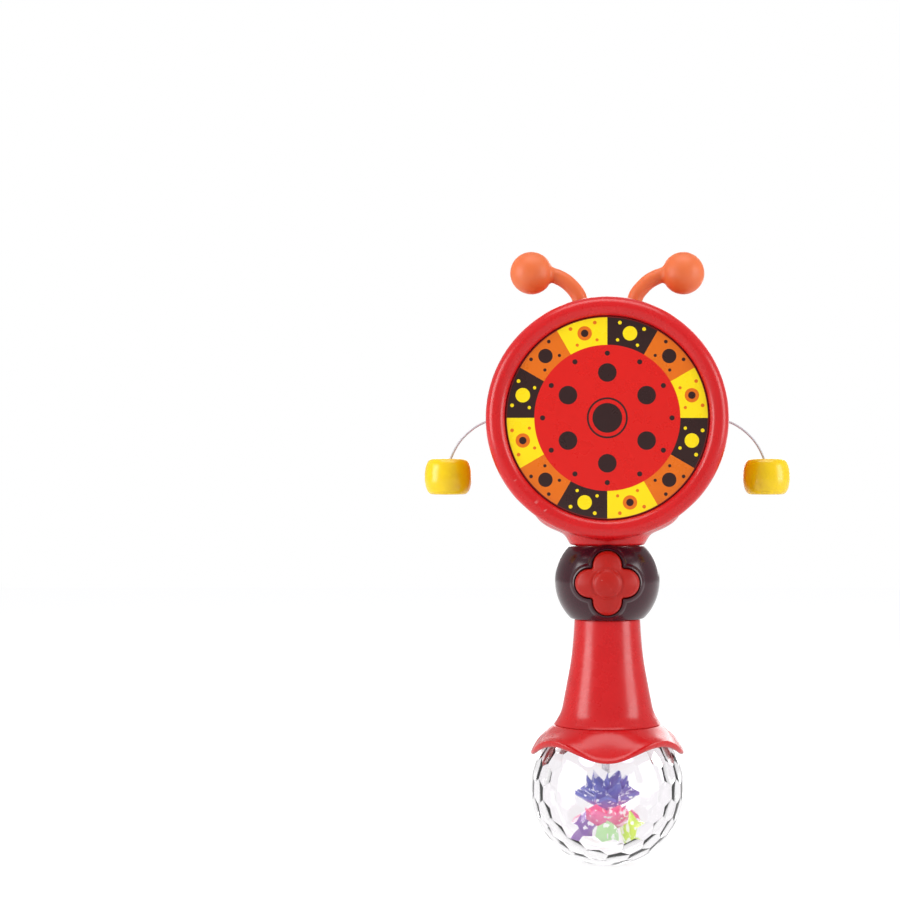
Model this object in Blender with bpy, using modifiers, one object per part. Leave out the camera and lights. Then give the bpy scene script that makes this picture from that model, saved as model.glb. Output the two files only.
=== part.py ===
"""Hand-held rattle drum: two drum heads, beads on cords, a press button and a light ball.

Metres, +Z up, front towards -Y. The ball's flat foot is at z = 0 and the handle's axis is x = y = 0.
"""

import math

import bmesh
import bpy
from mathutils import Matrix, Vector

# Fits
CLEARANCE = 0.0003
WALL = 0.002

# Facets round a turned piece
LARGE_STEPS = 32
MIDDLE_STEPS = 24
SMALL_STEPS = 16
PIN_STEPS = 8

# Shading: edges sharper than this stay crisp, and the ball's facets all do
ROUND_ANGLE = math.radians(32)
FACET_ANGLE = math.radians(4)

# Clear ball
BALL_FACE_DISTANCE = 0.0332
BALL_FOOT_FLAT = 0.0005
BALL_WALL = 0.0022
BALL_MOUTH_RADIUS = 0.0186
FACET_SUBDIVISIONS = 3

# Petal skirt
SKIRT_STEP = 0.0001
SKIRT_OVERHANG = 0.0004
SKIRT_DROP = 0.0122
SKIRT_THICKNESS = 0.0022
SKIRT_PETALS = 4
SKIRT_STEPS = 32
SKIRT_WAVE = 0.0062
SKIRT_WEB = 0.0017
SKIRT_SPIGOT_HEIGHT = 0.0030
SKIRT_SPIGOT_WALL = 0.0022
LEAD_HOLE_RADIUS = 0.008

# Handle: shares of its length from the foot up, and how much wider it is there than at its top
HANDLE_SHAPE = (
    (0.00, 0.0089),
    (0.03, 0.0080),
    (0.12, 0.0059),
    (0.26, 0.0045),
    (0.41, 0.0032),
    (0.58, 0.0018),
    (0.78, 0.0007),
    (1.00, 0.0000),
)
HANDLE_SHOULDER = 0.0008
HANDLE_SPIGOT_WALL = 0.0015
FLANGE_WIDTH = 0.0014
FLANGE_THICKNESS = 0.0015

# Neck ball
NECK_BALL_STEP = 0.0003
NECK_BALL_FOOT_STEP = 0.0017
NECK_BALL_TOP_STEP = 0.0009
NECK_BALL_FLOOR = 0.0020
LIP_RISE = 0.0008
LIP_WIDTH = 0.0012

# Flower button
FLOWER_MARGIN = 0.0014
PETAL_SHARE = 0.45
NOTCH_RADIUS = 0.0012
BUTTON_PROUD = 0.0026
BUTTON_GAP = 0.00045
BUTTON_EDGE = 0.0010
BUTTON_WALL = 0.0018
BUTTON_CENTRE_SHARE = 0.42
BUTTON_CENTRE_RISE = 0.0010
BUTTON_FLANGE = 0.0010
BUTTON_FLANGE_THICKNESS = 0.0012
BUTTON_STEM_RADIUS = 0.0030
BUTTON_TRAVEL = 0.0015

# Switch and boards in the neck ball
BOARD_THICKNESS = 0.0016
BOARD_FRONT_Y = -0.0056
BOARD_SPACE = 0.0010
SWITCH_BASE_RADIUS = 0.0050
SWITCH_HEIGHT = 0.0022
SPEAKER_RADIUS = 0.0100
SPEAKER_RIM = 0.0018
SPEAKER_MAGNET_RADIUS = 0.0062
SPEAKER_MAGNET_DEPTH = 0.0045
SPEAKER_COLLAR_WALL = 0.0010
SOUND_HOLE_RADIUS = 0.0011
SOUND_HOLE_RING = 0.0048
SOUND_HOLES = 6

# Drum casing
DRUM_LIFT = 0.0556
DRUM_RIM_RADIUS = 0.0525
DRUM_WAIST_RADIUS = 0.0466
DRUM_HALF_DEPTH = 0.0260
DRUM_RIM_WIDTH = 0.0087
DRUM_RIM_ROUND = 0.0054
HEAD_RECESS = 0.0025
HEAD_THICKNESS = 0.0020
LEDGE_WIDTH = 0.0039
NECK_HALF_WIDTH = 0.0162
NECK_HALF_DEPTH = 0.0156
NECK_BORE_RADIUS = 0.0116
# Height over the neck's foot, growth of the half-width and of the half-depth
NECK_FLARE = (
    (0.0000, 0.0000, 0.0000),
    (0.0042, 0.0025, 0.0012),
    (0.0055, 0.0043, 0.0020),
    (0.0073, 0.0088, 0.0030),
    (0.0103, 0.0135, 0.0042),
    (0.0148, 0.0168, 0.0050),
    (0.0203, 0.0186, 0.0050),
    (0.0263, 0.0190, 0.0044),
)

# Antennae: the path of the right one, across from the axis and up from the drum's centre
ANTENNA_BALL_RADIUS = 0.00935
ANTENNA_BALL_X = 0.0334
ANTENNA_BALL_RISE = 0.0640
ANTENNA_STEM_RADIUS = 0.0035
ANTENNA_FLANGE_RADIUS = 0.0052
ANTENNA_FLANGE = 0.0014
ANTENNA_LEAN = math.radians(13.0)
ANTENNA_BEND = ((0.0122, 0.0527), (0.0140, 0.0561), (0.0182, 0.0603), (0.0235, 0.0630))

# Beads and cords
BEAD_X = 0.0700
BEAD_DROP = 0.0255
BEAD_RADIUS = 0.01035
BEAD_HEIGHT = 0.0157
BEAD_BORE_RADIUS = 0.0012
BEAD_MOUTH_RADIUS = 0.0024
BEAD_MOUTH_DEPTH = 0.0030
BEAD_POCKET_RADIUS = 0.0024
BEAD_POCKET_DEPTH = 0.0042
CORD_RADIUS = 0.00055
CORD_HOLE_RADIUS = 0.0013
CORD_PIVOT_GAP = 0.00035
CORD_ROOT_LENGTH = 0.0016
KNOT_RADIUS = 0.0017
# Right cord's route past its root: outward from the hole and down
CORD_ROUTE = (
    (0.0068, 0.0014),
    (0.0102, 0.0030),
    (0.0133, 0.0051),
    (0.0166, 0.0081),
    (0.0192, 0.0114),
    (0.0209, 0.0144),
    (0.0223, 0.0176),
)

# Screws
SCREW_RADIUS = 0.0012
SCREW_HEAD_RADIUS = 0.0024
SCREW_HEAD_HEIGHT = 0.0017
SCREW_LENGTH = 0.0100
SCREW_POINT = 0.0012
BOSS_WALL = 0.0008
BOSS_STEPS = 8
DRUM_BOSS_WALL = 0.0018
DRUM_SCREW_SEAT_Y = 0.0040
NECK_SCREW_IN = 0.0048
NECK_SCREW_SEAT_Y = 0.0030
HANDLE_SCREW_SEAT_Y = 0.0035
HANDLE_SCREW_RISE = 0.0082

# Battery compartment
CELL_RADIUS = 0.00525
CELL_LENGTH = 0.0436
CELL_CAP_RADIUS = 0.0019
CELL_CAP_HEIGHT = 0.0009
CELL_GAP = 0.0007
CELL_CLEARANCE = 0.00025
TRAY_WALL = 0.0007
TRAY_BACK_Y = 0.0020
TRAY_END_WALL = 0.0013
TRAY_IN_NECK = 0.0047
CONTACT_THICKNESS = 0.0004
CONTACT_SPRING_REACH = 0.0016
CONTACT_WIDTH = 0.0050
DOOR_HALF_WIDTH = 0.0108
DOOR_FOOT_RISE = 0.0115
DOOR_TOP_DROP = 0.0043
DOOR_SCREW_DROP = 0.0046
DOOR_SCREW_TIP_Y = 0.0038
DOOR_LUG_Y = 0.0058
DOOR_LUG_HALF_WIDTH = 0.0036

# Lamp tray, motor and spinner
LAMP_TRAY_IN_MOUTH = 0.0018
LAMP_TRAY_DRAFT = 0.0026
LAMP_TRAY_DEPTH = 0.0100
LAMP_TRAY_WALL = 0.0012
LAMP_RADIUS = 0.0024
LAMP_LENGTH = 0.0064
LAMP_RIM = 0.0010
LAMP_CIRCLE = 0.0098
LAMP_FLANGE = 0.0012
LAMP_FLANGE_WIDTH = 0.0026
LAMPS = 3
MOTOR_RADIUS = 0.0065
MOTOR_HEIGHT = 0.0078
MOTOR_NOSE_RADIUS = 0.0026
MOTOR_NOSE = 0.0010
SHAFT_RADIUS = 0.0010
SHAFT_IN_MOTOR = 0.0024
SHAFT_FOOT = 0.0012
SHAFT_FOOT_RISE = 0.0126
UPPER_STAR_POINTS = 12
UPPER_STAR_RADIUS = 0.0128
UPPER_STAR_HUB = 0.0060
UPPER_STAR_RISE = 0.0115
LOWER_STAR_POINTS = 9
LOWER_STAR_RADIUS = 0.0105
LOWER_STAR_HUB = 0.0072
LOWER_STAR_RISE = 0.0080
STAR_THICKNESS = 0.0016
STAR_HUB_RADIUS = 0.0030
CARRIER_THICKNESS = 0.0022
CARRIER_ARM_WIDTH = 0.0022
CHIP_CIRCLE = 0.0124
CHIP_THICKNESS = 0.0016
CHIP_RADIUS = 0.0060

# Radii that follow from the cells, from the battery tray outwards
TRAY_RADIUS = 2 * CELL_RADIUS + CELL_GAP / 2 + CELL_CLEARANCE + TRAY_WALL
HANDLE_SPIGOT_BORE = TRAY_RADIUS + CLEARANCE
HANDLE_SPIGOT_RADIUS = HANDLE_SPIGOT_BORE + HANDLE_SPIGOT_WALL
FLANGE_RADIUS = HANDLE_SPIGOT_RADIUS + FLANGE_WIDTH
HANDLE_TOP_RADIUS = HANDLE_SPIGOT_RADIUS + HANDLE_SHOULDER
HANDLE_FOOT_RADIUS = HANDLE_TOP_RADIUS + HANDLE_SHAPE[0][1]
SKIRT_TOP_RADIUS = HANDLE_FOOT_RADIUS + SKIRT_STEP
NECK_BALL_RADIUS = HANDLE_FOOT_RADIUS - NECK_BALL_STEP
NECK_BALL_FOOT_RADIUS = HANDLE_TOP_RADIUS + NECK_BALL_FOOT_STEP
NECK_BALL_TOP_RADIUS = NECK_HALF_WIDTH + NECK_BALL_TOP_STEP
NECK_BALL_BELOW = math.sqrt(NECK_BALL_RADIUS**2 - NECK_BALL_FOOT_RADIUS**2)
NECK_BALL_ABOVE = math.sqrt(NECK_BALL_RADIUS**2 - NECK_BALL_TOP_RADIUS**2)
NECK_SCREW_X = NECK_BALL_RADIUS - WALL - NECK_SCREW_IN

# The flower button, within the neck ball's height
FLOWER_REACH = NECK_BALL_ABOVE - FLOWER_MARGIN
PETAL_RADIUS = PETAL_SHARE * FLOWER_REACH
PETAL_CENTRE = FLOWER_REACH - PETAL_RADIUS
BUTTON_CENTRE_RADIUS = BUTTON_CENTRE_SHARE * FLOWER_REACH
BUTTON_DOME_RADIUS = NECK_BALL_RADIUS + BUTTON_PROUD

# Places that follow from the sizes above, from the foot up
BALL_Z = BALL_FACE_DISTANCE - BALL_FOOT_FLAT
BALL_INNER_RADIUS = BALL_FACE_DISTANCE - BALL_WALL
BALL_MOUTH_Z = BALL_Z + math.sqrt(BALL_INNER_RADIUS**2 - BALL_MOUTH_RADIUS**2)
SHAFT_FOOT_Z = BALL_Z - BALL_INNER_RADIUS + SHAFT_FOOT_RISE
LAMP_TRAY_TOP_RADIUS = BALL_MOUTH_RADIUS - LAMP_TRAY_IN_MOUTH
LAMP_TRAY_FLOOR_RADIUS = LAMP_TRAY_TOP_RADIUS - LAMP_TRAY_DRAFT
LAMP_FLANGE_RADIUS = BALL_MOUTH_RADIUS + LAMP_FLANGE_WIDTH
LAMP_FLANGE_Z = BALL_MOUTH_Z + CLEARANCE
SKIRT_WEB_Z = LAMP_FLANGE_Z + LAMP_FLANGE + CLEARANCE
SKIRT_TOP_Z = SKIRT_WEB_Z + SKIRT_WEB
SKIRT_HEM_Z = SKIRT_TOP_Z - SKIRT_DROP
SKIRT_HEM_RADIUS = BALL_FACE_DISTANCE + SKIRT_OVERHANG
SKIRT_SPIGOT_TOP_Z = SKIRT_TOP_Z + SKIRT_SPIGOT_HEIGHT
TRAY_FOOT_Z = SKIRT_TOP_Z + CLEARANCE
POCKET_FOOT_Z = TRAY_FOOT_Z + TRAY_END_WALL
CELL_FOOT_Z = POCKET_FOOT_Z + CONTACT_THICKNESS + CONTACT_SPRING_REACH + 2 * CLEARANCE
CELL_TOP_Z = CELL_FOOT_Z + CELL_LENGTH
POCKET_TOP_Z = CELL_TOP_Z + CELL_CAP_HEIGHT + CONTACT_THICKNESS + 2 * CLEARANCE
TRAY_TOP_Z = POCKET_TOP_Z + TRAY_END_WALL
HANDLE_FOOT_Z = SKIRT_TOP_Z + CLEARANCE
HANDLE_TOP_Z = TRAY_TOP_Z - TRAY_IN_NECK
HANDLE_LENGTH = HANDLE_TOP_Z - HANDLE_FOOT_Z
DOOR_FOOT_Z = HANDLE_FOOT_Z + DOOR_FOOT_RISE
DOOR_TOP_Z = HANDLE_TOP_Z - DOOR_TOP_DROP
NECK_BALL_FOOT_Z = HANDLE_TOP_Z + CLEARANCE
NECK_BALL_Z = NECK_BALL_FOOT_Z + NECK_BALL_BELOW
NECK_BALL_TOP_Z = NECK_BALL_Z + NECK_BALL_ABOVE
NECK_FOOT_Z = NECK_BALL_TOP_Z + CLEARANCE
HANDLE_FLANGE_Z = NECK_BALL_FOOT_Z + NECK_BALL_FLOOR + CLEARANCE
NECK_FLANGE_Z = NECK_BALL_TOP_Z - NECK_BALL_FLOOR - CLEARANCE - FLANGE_THICKNESS
DRUM_Z = NECK_FOOT_Z + DRUM_LIFT
DRUM_RIM_EDGE_Y = DRUM_HALF_DEPTH - DRUM_RIM_ROUND
HEAD_RADIUS = DRUM_RIM_RADIUS - DRUM_RIM_WIDTH
HEAD_FACE_Y = DRUM_HALF_DEPTH - HEAD_RECESS
LEDGE_Y = HEAD_FACE_Y - HEAD_THICKNESS - CLEARANCE
HOLE_RADIUS = SCREW_RADIUS + CLEARANCE
COUNTERBORE_RADIUS = SCREW_HEAD_RADIUS + CLEARANCE
BOSS_RADIUS = COUNTERBORE_RADIUS + BOSS_WALL
HANDLE_SCREW_X = TRAY_RADIUS + CLEARANCE + BOSS_RADIUS
DRUM_BOSS_RADIUS = COUNTERBORE_RADIUS + DRUM_BOSS_WALL
DRUM_SCREW_CIRCLE = HEAD_RADIUS - COUNTERBORE_RADIUS - CLEARANCE
BEAD_Z = DRUM_Z - BEAD_DROP
CORD_SWING_X = DRUM_WAIST_RADIUS + CLEARANCE
CORD_LIFT_X = CORD_SWING_X + 2 * CORD_PIVOT_GAP + CORD_ROOT_LENGTH


def clear_scene():
    for old in list(bpy.data.objects):
        bpy.data.objects.remove(old)


def make_collection(name):
    made = bpy.data.collections.new(name)
    bpy.context.scene.collection.children.link(made)
    return made


clear_scene()
PARTS = make_collection("rattle_drum")
CUTTERS = make_collection("cutters")


def finish(name, colour, roughness, metallic=0.0, transmission=0.0):
    made = bpy.data.materials.new(name)
    made.use_nodes = True
    made.diffuse_color = (*colour, 1.0)
    shader = made.node_tree.nodes["Principled BSDF"]
    shader.inputs["Base Color"].default_value = (*colour, 1.0)
    shader.inputs["Roughness"].default_value = roughness
    shader.inputs["Metallic"].default_value = metallic
    shader.inputs["Transmission Weight"].default_value = transmission
    return made


RED = finish("red_plastic", (0.72, 0.015, 0.02), 0.22)
BROWN = finish("brown_plastic", (0.055, 0.014, 0.02), 0.2)
BUTTON_RED = finish("button_plastic", (0.6, 0.03, 0.012), 0.3)
ORANGE = finish("orange_rubber", (0.84, 0.2, 0.045), 0.45)
YELLOW = finish("bead_plastic", (0.93, 0.68, 0.0), 0.3)
PRINTED = finish("printed_head", (0.74, 0.02, 0.01), 0.35)
CLEAR = finish("clear_plastic", (0.97, 0.97, 0.98), 0.04, transmission=1.0)
WHITE = finish("white_plastic", (0.85, 0.85, 0.87), 0.4)
CORD = finish("nylon_cord", (0.86, 0.87, 0.88), 0.5)
STEEL = finish("steel", (0.62, 0.62, 0.64), 0.3, metallic=1.0)
BOARD = finish("circuit_board", (0.03, 0.22, 0.08), 0.45)
RUBBER = finish("grey_rubber", (0.3, 0.3, 0.31), 0.7)
CELL = finish("cell_wrap", (0.03, 0.05, 0.07), 0.35)
LAMP = finish("lamp_lens", (0.9, 0.92, 0.95), 0.15)
BLACK = finish("black_plastic", (0.02, 0.02, 0.022), 0.45)
VIOLET = finish("violet_plastic", (0.24, 0.2, 0.75), 0.25)
PINK = finish("pink_plastic", (0.9, 0.06, 0.35), 0.25)
PURPLE = finish("purple_plastic", (0.32, 0.1, 0.6), 0.25)
GREEN = finish("green_plastic", (0.4, 0.85, 0.35), 0.25)
LIME = finish("lime_plastic", (0.7, 0.85, 0.05), 0.25)
MAGENTA = finish("magenta_plastic", (0.8, 0.03, 0.3), 0.25)
CHIP_ORANGE = finish("orange_plastic", (0.95, 0.3, 0.08), 0.25)

# Chips round the spinner, from the right-hand rear one on
CHIPS = (
    ("magenta", "star", MAGENTA),
    ("orange", "flower", CHIP_ORANGE),
    ("pink", "star", PINK),
    ("purple", "flower", PURPLE),
    ("green", "dome", GREEN),
    ("lime", "flower", LIME),
)
CHIP_TURN = math.pi / 6


def place(name, mesh, material=None, matrix=None):
    """Links a mesh as a part, or as a hidden cutter where it has no material."""
    made = bpy.data.objects.new(name, mesh)
    if matrix is not None:
        made.matrix_world = matrix
    if material is None:
        CUTTERS.objects.link(made)
        made.hide_render = True
        made.display_type = "WIRE"
    else:
        PARTS.objects.link(made)
        mesh.materials.clear()
        mesh.materials.append(material)
    return made


def from_bmesh(name, shape, material=None, matrix=None):
    bmesh.ops.recalc_face_normals(shape, faces=shape.faces)
    mesh = bpy.data.meshes.new(name)
    shape.to_mesh(mesh)
    shape.free()
    return place(name, mesh, material, matrix)


def settled(made):
    """The mesh that an object's modifiers make, with points that coincide merged."""
    bpy.context.view_layer.update()
    graph = bpy.context.evaluated_depsgraph_get()
    mesh = bpy.data.meshes.new_from_object(made.evaluated_get(graph))
    shape = bmesh.new()
    shape.from_mesh(mesh)
    bmesh.ops.remove_doubles(shape, verts=shape.verts, dist=0.000001)
    shape.to_mesh(mesh)
    shape.free()
    return mesh


def boolean(target, tool, operation):
    step = target.modifiers.new(f"{operation.lower()}_{tool.name}"[:60], "BOOLEAN")
    step.operation = operation
    step.object = tool
    step.solver = "EXACT"


def cut(target, *tools):
    for tool in tools:
        boolean(target, tool, "DIFFERENCE")


def join(target, *tools):
    for tool in tools:
        boolean(target, tool, "UNION")


def keep(target, tool):
    boolean(target, tool, "INTERSECT")


def along_y(x=0.0, y=0.0, z=0.0):
    """Turns local +Z to world +Y, at a place."""
    return Matrix.Translation((x, y, z)) @ Matrix.Rotation(-math.pi / 2, 4, "X")


def facing_front(x=0.0, y=0.0, z=0.0):
    """Turns local +Z to world -Y with local +Y up, at a place."""
    return Matrix.Translation((x, y, z)) @ Matrix.Rotation(math.pi / 2, 4, "X")


def turned(name, outline, material=None, matrix=None, steps=MIDDLE_STEPS, ring=False):
    """Turns an outline of (radius, height) about Z. A ring's outline closes on itself."""
    shape = bmesh.new()
    corners = [shape.verts.new((radius, 0.0, height)) for radius, height in outline]
    for one, other in zip(corners, corners[1:] + corners[:1] if ring else corners[1:]):
        shape.edges.new((one, other))
    mesh = bpy.data.meshes.new(name)
    shape.to_mesh(mesh)
    shape.free()
    made = place(name, mesh, material, matrix)
    screw = made.modifiers.new("turn", "SCREW")
    screw.steps = steps
    screw.render_steps = steps
    screw.use_merge_vertices = True
    screw.merge_threshold = 0.00001
    return made


def cylinder(name, radius, low, high, material=None, matrix=None, steps=SMALL_STEPS):
    outline = ((0.0, high), (radius, high), (radius, low), (0.0, low))
    return turned(name, outline, material, matrix, steps)


def box(name, low, high, material=None):
    shape = bmesh.new()
    bmesh.ops.create_cube(shape, size=1.0)
    size = [top - bottom for bottom, top in zip(low, high)]
    middle = [(top + bottom) / 2 for bottom, top in zip(low, high)]
    bmesh.ops.scale(shape, vec=size, verts=shape.verts)
    bmesh.ops.translate(shape, vec=middle, verts=shape.verts)
    return from_bmesh(name, shape, material)


def loft(name, rings, material=None, matrix=None, closed=False):
    """Skins rings of equally many points. It caps the first and the last, or joins them if closed."""
    shape = bmesh.new()
    loops = [[shape.verts.new(point) for point in ring] for ring in rings]
    for lower, upper in zip(loops, loops[1:] + loops[:1] if closed else loops[1:]):
        count = len(lower)
        for i in range(count):
            following = (i + 1) % count
            shape.faces.new((lower[i], lower[following], upper[following], upper[i]))
    if not closed:
        shape.faces.new(loops[0])
        shape.faces.new(loops[-1])
    return from_bmesh(name, shape, material, matrix)


def smooth_line(points, pieces):
    """Points on a smooth curve through the given ones, with so many pieces a span."""
    points = [Vector(point) for point in points]
    ends = [2 * points[0] - points[1], *points, 2 * points[-1] - points[-2]]
    line = []
    for before, start, stop, after in zip(ends, ends[1:], ends[2:], ends[3:]):
        for i in range(pieces):
            t = i / pieces
            line.append(
                start
                + 0.5 * t * (stop - before)
                + t * t * (before - 2.5 * start + 2 * stop - 0.5 * after)
                + t**3 * 0.5 * (3 * (start - stop) + after - before)
            )
    return [*line, points[-1]]


def tube(name, points, radius, material, sides_step=2, radii=None):
    """A round bar along points, as a mesh. radii scales it at each point."""
    curve = bpy.data.curves.new(name, "CURVE")
    curve.dimensions = "3D"
    curve.bevel_depth = radius
    curve.bevel_resolution = sides_step
    curve.use_fill_caps = True
    spline = curve.splines.new("POLY")
    spline.points.add(len(points) - 1)
    for i, (knot, point) in enumerate(zip(spline.points, points)):
        knot.co = (*point, 1.0)
        knot.radius = radii[i] if radii else 1.0
    guide = bpy.data.objects.new(f"{name}_line", curve)
    CUTTERS.objects.link(guide)
    mesh = settled(guide)
    bpy.data.objects.remove(guide)
    return place(name, mesh, material)


def arc(centre, radius, start, stop, pieces):
    """Points from one angle to another, both ends included."""
    return [
        (
            centre[0] + radius * math.cos(start + (stop - start) * i / pieces),
            centre[1] + radius * math.sin(start + (stop - start) * i / pieces),
        )
        for i in range(pieces + 1)
    ]


def flower_outline(growth):
    """Four round petals with filleted notches, grown outwards by a distance."""
    petal = PETAL_RADIUS + growth
    notch = max(NOTCH_RADIUS - growth, NOTCH_RADIUS / 2)
    middle = PETAL_CENTRE / math.sqrt(2)
    reach = middle + math.sqrt((petal + notch) ** 2 - middle**2)
    across = reach / math.sqrt(2)
    half = math.atan2(across, across - PETAL_CENTRE)
    quarter = [*arc((PETAL_CENTRE, 0.0), petal, -half, half, 6)]
    quarter += arc((across, across), notch, math.pi + half, 1.5 * math.pi - half, 3)[1:-1]
    points = []
    for turn in range(4):
        spin = Matrix.Rotation(turn * math.pi / 2, 2)
        points += [spin @ Vector(point) for point in quarter]
    return points


def flower_bar(name, growth, low, high, matrix):
    """A flower outline drawn out along its axis, as a cutter."""
    outline = flower_outline(growth)
    return loft(name, [[(x, y, height) for x, y in outline] for height in (low, high)], None, matrix)


def sphere_height(radius, across):
    """Height of a sphere over its centre at a distance from its axis."""
    return math.sqrt(radius**2 - across**2)


def make_screw(name, matrix, length=SCREW_LENGTH):
    """A pan-head screw whose head sits at the origin's +Z side."""
    head = SCREW_HEAD_HEIGHT
    outline = (
        (0.0, head),
        (0.7 * SCREW_HEAD_RADIUS, head),
        (SCREW_HEAD_RADIUS, 0.5 * head),
        (SCREW_HEAD_RADIUS, 0.0),
        (SCREW_RADIUS, 0.0),
        (SCREW_RADIUS, SCREW_POINT - length),
        (0.0, -length),
    )
    return turned(name, outline, STEEL, matrix, PIN_STEPS)


def screw_hole(name, x, z, seat_y, open_y):
    """A stepped cutter along Y: the screw's hole, and the well over its head."""
    bottom = -SCREW_LENGTH - 2 * CLEARANCE
    seat = -CLEARANCE
    outline = (
        (0.0, open_y - seat_y),
        (COUNTERBORE_RADIUS, open_y - seat_y),
        (COUNTERBORE_RADIUS, seat),
        (HOLE_RADIUS, seat),
        (HOLE_RADIUS, bottom),
        (0.0, bottom),
    )
    return turned(name, outline, None, along_y(x, seat_y, z), PIN_STEPS)


def front_half(name, blank, material, reach):
    """The half of a blank in front of the joint plane."""
    made = place(name, settled(blank), material, blank.matrix_world.copy())
    cut(made, box(f"{name}_away", (-reach, -CLEARANCE / 2, -reach), (reach, reach, 3 * reach)))
    return made


def rear_half(name, blank, material, reach):
    """The half of a blank behind the joint plane."""
    made = place(name, settled(blank), material, blank.matrix_world.copy())
    cut(made, box(f"{name}_away", (-reach, -reach, -reach), (reach, CLEARANCE / 2, 3 * reach)))
    return made


# Clear ball
def facet_blank():
    """A solid of flat facets. Each corner is where three neighbouring facet planes meet."""
    guide = bmesh.new()
    bmesh.ops.create_icosphere(guide, subdivisions=FACET_SUBDIVISIONS, radius=1.0)
    shape = bmesh.new()
    for triangle in guide.faces:
        normals = Matrix([corner.co.normalized() for corner in triangle.verts])
        distances = Vector(
            BALL_Z if normal.z < -0.999 else BALL_FACE_DISTANCE for normal in normals
        )
        shape.verts.new(normals.inverted() @ distances)
    guide.free()
    bmesh.ops.convex_hull(shape, input=shape.verts)
    bmesh.ops.dissolve_limit(shape, angle_limit=0.01, verts=shape.verts, edges=shape.edges)
    return from_bmesh("ball_blank", shape, CLEAR, Matrix.Translation((0.0, 0.0, BALL_Z)))


def make_clear_ball():
    ball = facet_blank()
    ball.name = "clear_ball"
    reach = 2 * BALL_FACE_DISTANCE
    mouth = box("ball_mouth", (-reach, -reach, BALL_MOUTH_Z), (reach, reach, BALL_Z + reach))
    steps = 8
    hollow = [
        (
            BALL_INNER_RADIUS * math.sin(math.pi * i / steps),
            BALL_Z + BALL_INNER_RADIUS * math.cos(math.pi * i / steps),
        )
        for i in range(steps + 1)
    ]
    cut(ball, mouth, turned("ball_hollow", hollow, steps=MIDDLE_STEPS))


# Petal skirt
def make_petal_skirt():
    """A flared collar with a waved hem, a web over the ball's mouth and a spigot for the handle."""
    rise = SKIRT_TOP_Z - SKIRT_HEM_Z
    spread = SKIRT_HEM_RADIUS - SKIRT_TOP_RADIUS
    flare = ((0.0, 0.0), (0.2, 0.14), (0.45, 0.35), (0.7, 0.59), (0.9, 0.82))
    outer = [
        (SKIRT_TOP_RADIUS + spread * across, SKIRT_TOP_Z - rise * down) for across, down in flare
    ]
    half = SKIRT_THICKNESS / 2
    hem_centre = (SKIRT_HEM_RADIUS - half, SKIRT_HEM_Z + half)
    hem = arc(hem_centre, half, math.radians(20), math.radians(-200), 4)
    inner = [
        (radius - 0.8 * SKIRT_THICKNESS, height - 0.75 * SKIRT_THICKNESS)
        for radius, height in outer[3:1:-1]
    ]
    spigot = HANDLE_BOTTOM_BORE - CLEARANCE
    outline = [
        (spigot, SKIRT_SPIGOT_TOP_Z),
        (spigot, SKIRT_TOP_Z),
        *outer,
        *hem,
        *inner,
        (SKIRT_TOP_RADIUS - 0.3 * SKIRT_THICKNESS, SKIRT_WEB_Z),
        (LEAD_HOLE_RADIUS, SKIRT_WEB_Z),
        (LEAD_HOLE_RADIUS, SKIRT_TOP_Z),
        (spigot - SKIRT_SPIGOT_WALL, SKIRT_TOP_Z),
        (spigot - SKIRT_SPIGOT_WALL, SKIRT_SPIGOT_TOP_Z),
    ]
    guide = turned("skirt_line", outline, steps=SKIRT_STEPS, ring=True)
    mesh = settled(guide)
    bpy.data.objects.remove(guide)
    for corner in mesh.vertices:
        across = math.hypot(corner.co.x, corner.co.y)
        share = max(0.0, (across - SKIRT_TOP_RADIUS) / spread)
        wave = 0.5 - 0.5 * math.cos(SKIRT_PETALS * math.atan2(corner.co.y, corner.co.x))
        corner.co.z += SKIRT_WAVE * wave * share**1.6
    place("petal_skirt", mesh, RED)


# Handle
def handle_radius(height):
    """Outer radius at a height, between the points of the handle's shape."""
    share = (height - HANDLE_FOOT_Z) / HANDLE_LENGTH
    for (low, below), (high, above) in zip(HANDLE_SHAPE, HANDLE_SHAPE[1:]):
        if share <= high:
            return HANDLE_TOP_RADIUS + below + (above - below) * (share - low) / (high - low)
    return HANDLE_TOP_RADIUS


HANDLE_BOTTOM_BORE = handle_radius(SKIRT_SPIGOT_TOP_Z + 2 * CLEARANCE) - WALL


def handle_line():
    """The outer line from the neck ball down to the skirt."""
    return [
        (HANDLE_TOP_RADIUS + wider, HANDLE_FOOT_Z + share * HANDLE_LENGTH)
        for share, wider in reversed(HANDLE_SHAPE)
    ]


def handle_blank():
    outer = handle_line()
    straight_z = SKIRT_SPIGOT_TOP_Z + CLEARANCE
    inner = [(radius - WALL, height) for radius, height in reversed(outer) if height > straight_z + 0.001]
    top_z = HANDLE_FLANGE_Z + FLANGE_THICKNESS
    outline = [
        (FLANGE_RADIUS, top_z),
        (FLANGE_RADIUS, HANDLE_FLANGE_Z),
        (HANDLE_SPIGOT_RADIUS, HANDLE_FLANGE_Z),
        (HANDLE_SPIGOT_RADIUS, HANDLE_TOP_Z),
        *outer,
        (HANDLE_BOTTOM_BORE, HANDLE_FOOT_Z),
        (HANDLE_BOTTOM_BORE, straight_z),
        *inner[:-1],
        (HANDLE_SPIGOT_BORE, HANDLE_TOP_Z - WALL),
        (HANDLE_SPIGOT_BORE, top_z),
    ]
    return turned("handle_blank", outline, steps=MIDDLE_STEPS, ring=True)


def screw_boss(name, x, z, front, rear, core=None, radius=BOSS_RADIUS):
    """A boss along Y for a screw, kept inside a core where its ends would pass the shell."""
    boss = cylinder(name, radius, front, rear, None, along_y(x, 0.0, z), BOSS_STEPS)
    if core is not None:
        keep(boss, core)
    return boss


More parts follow.
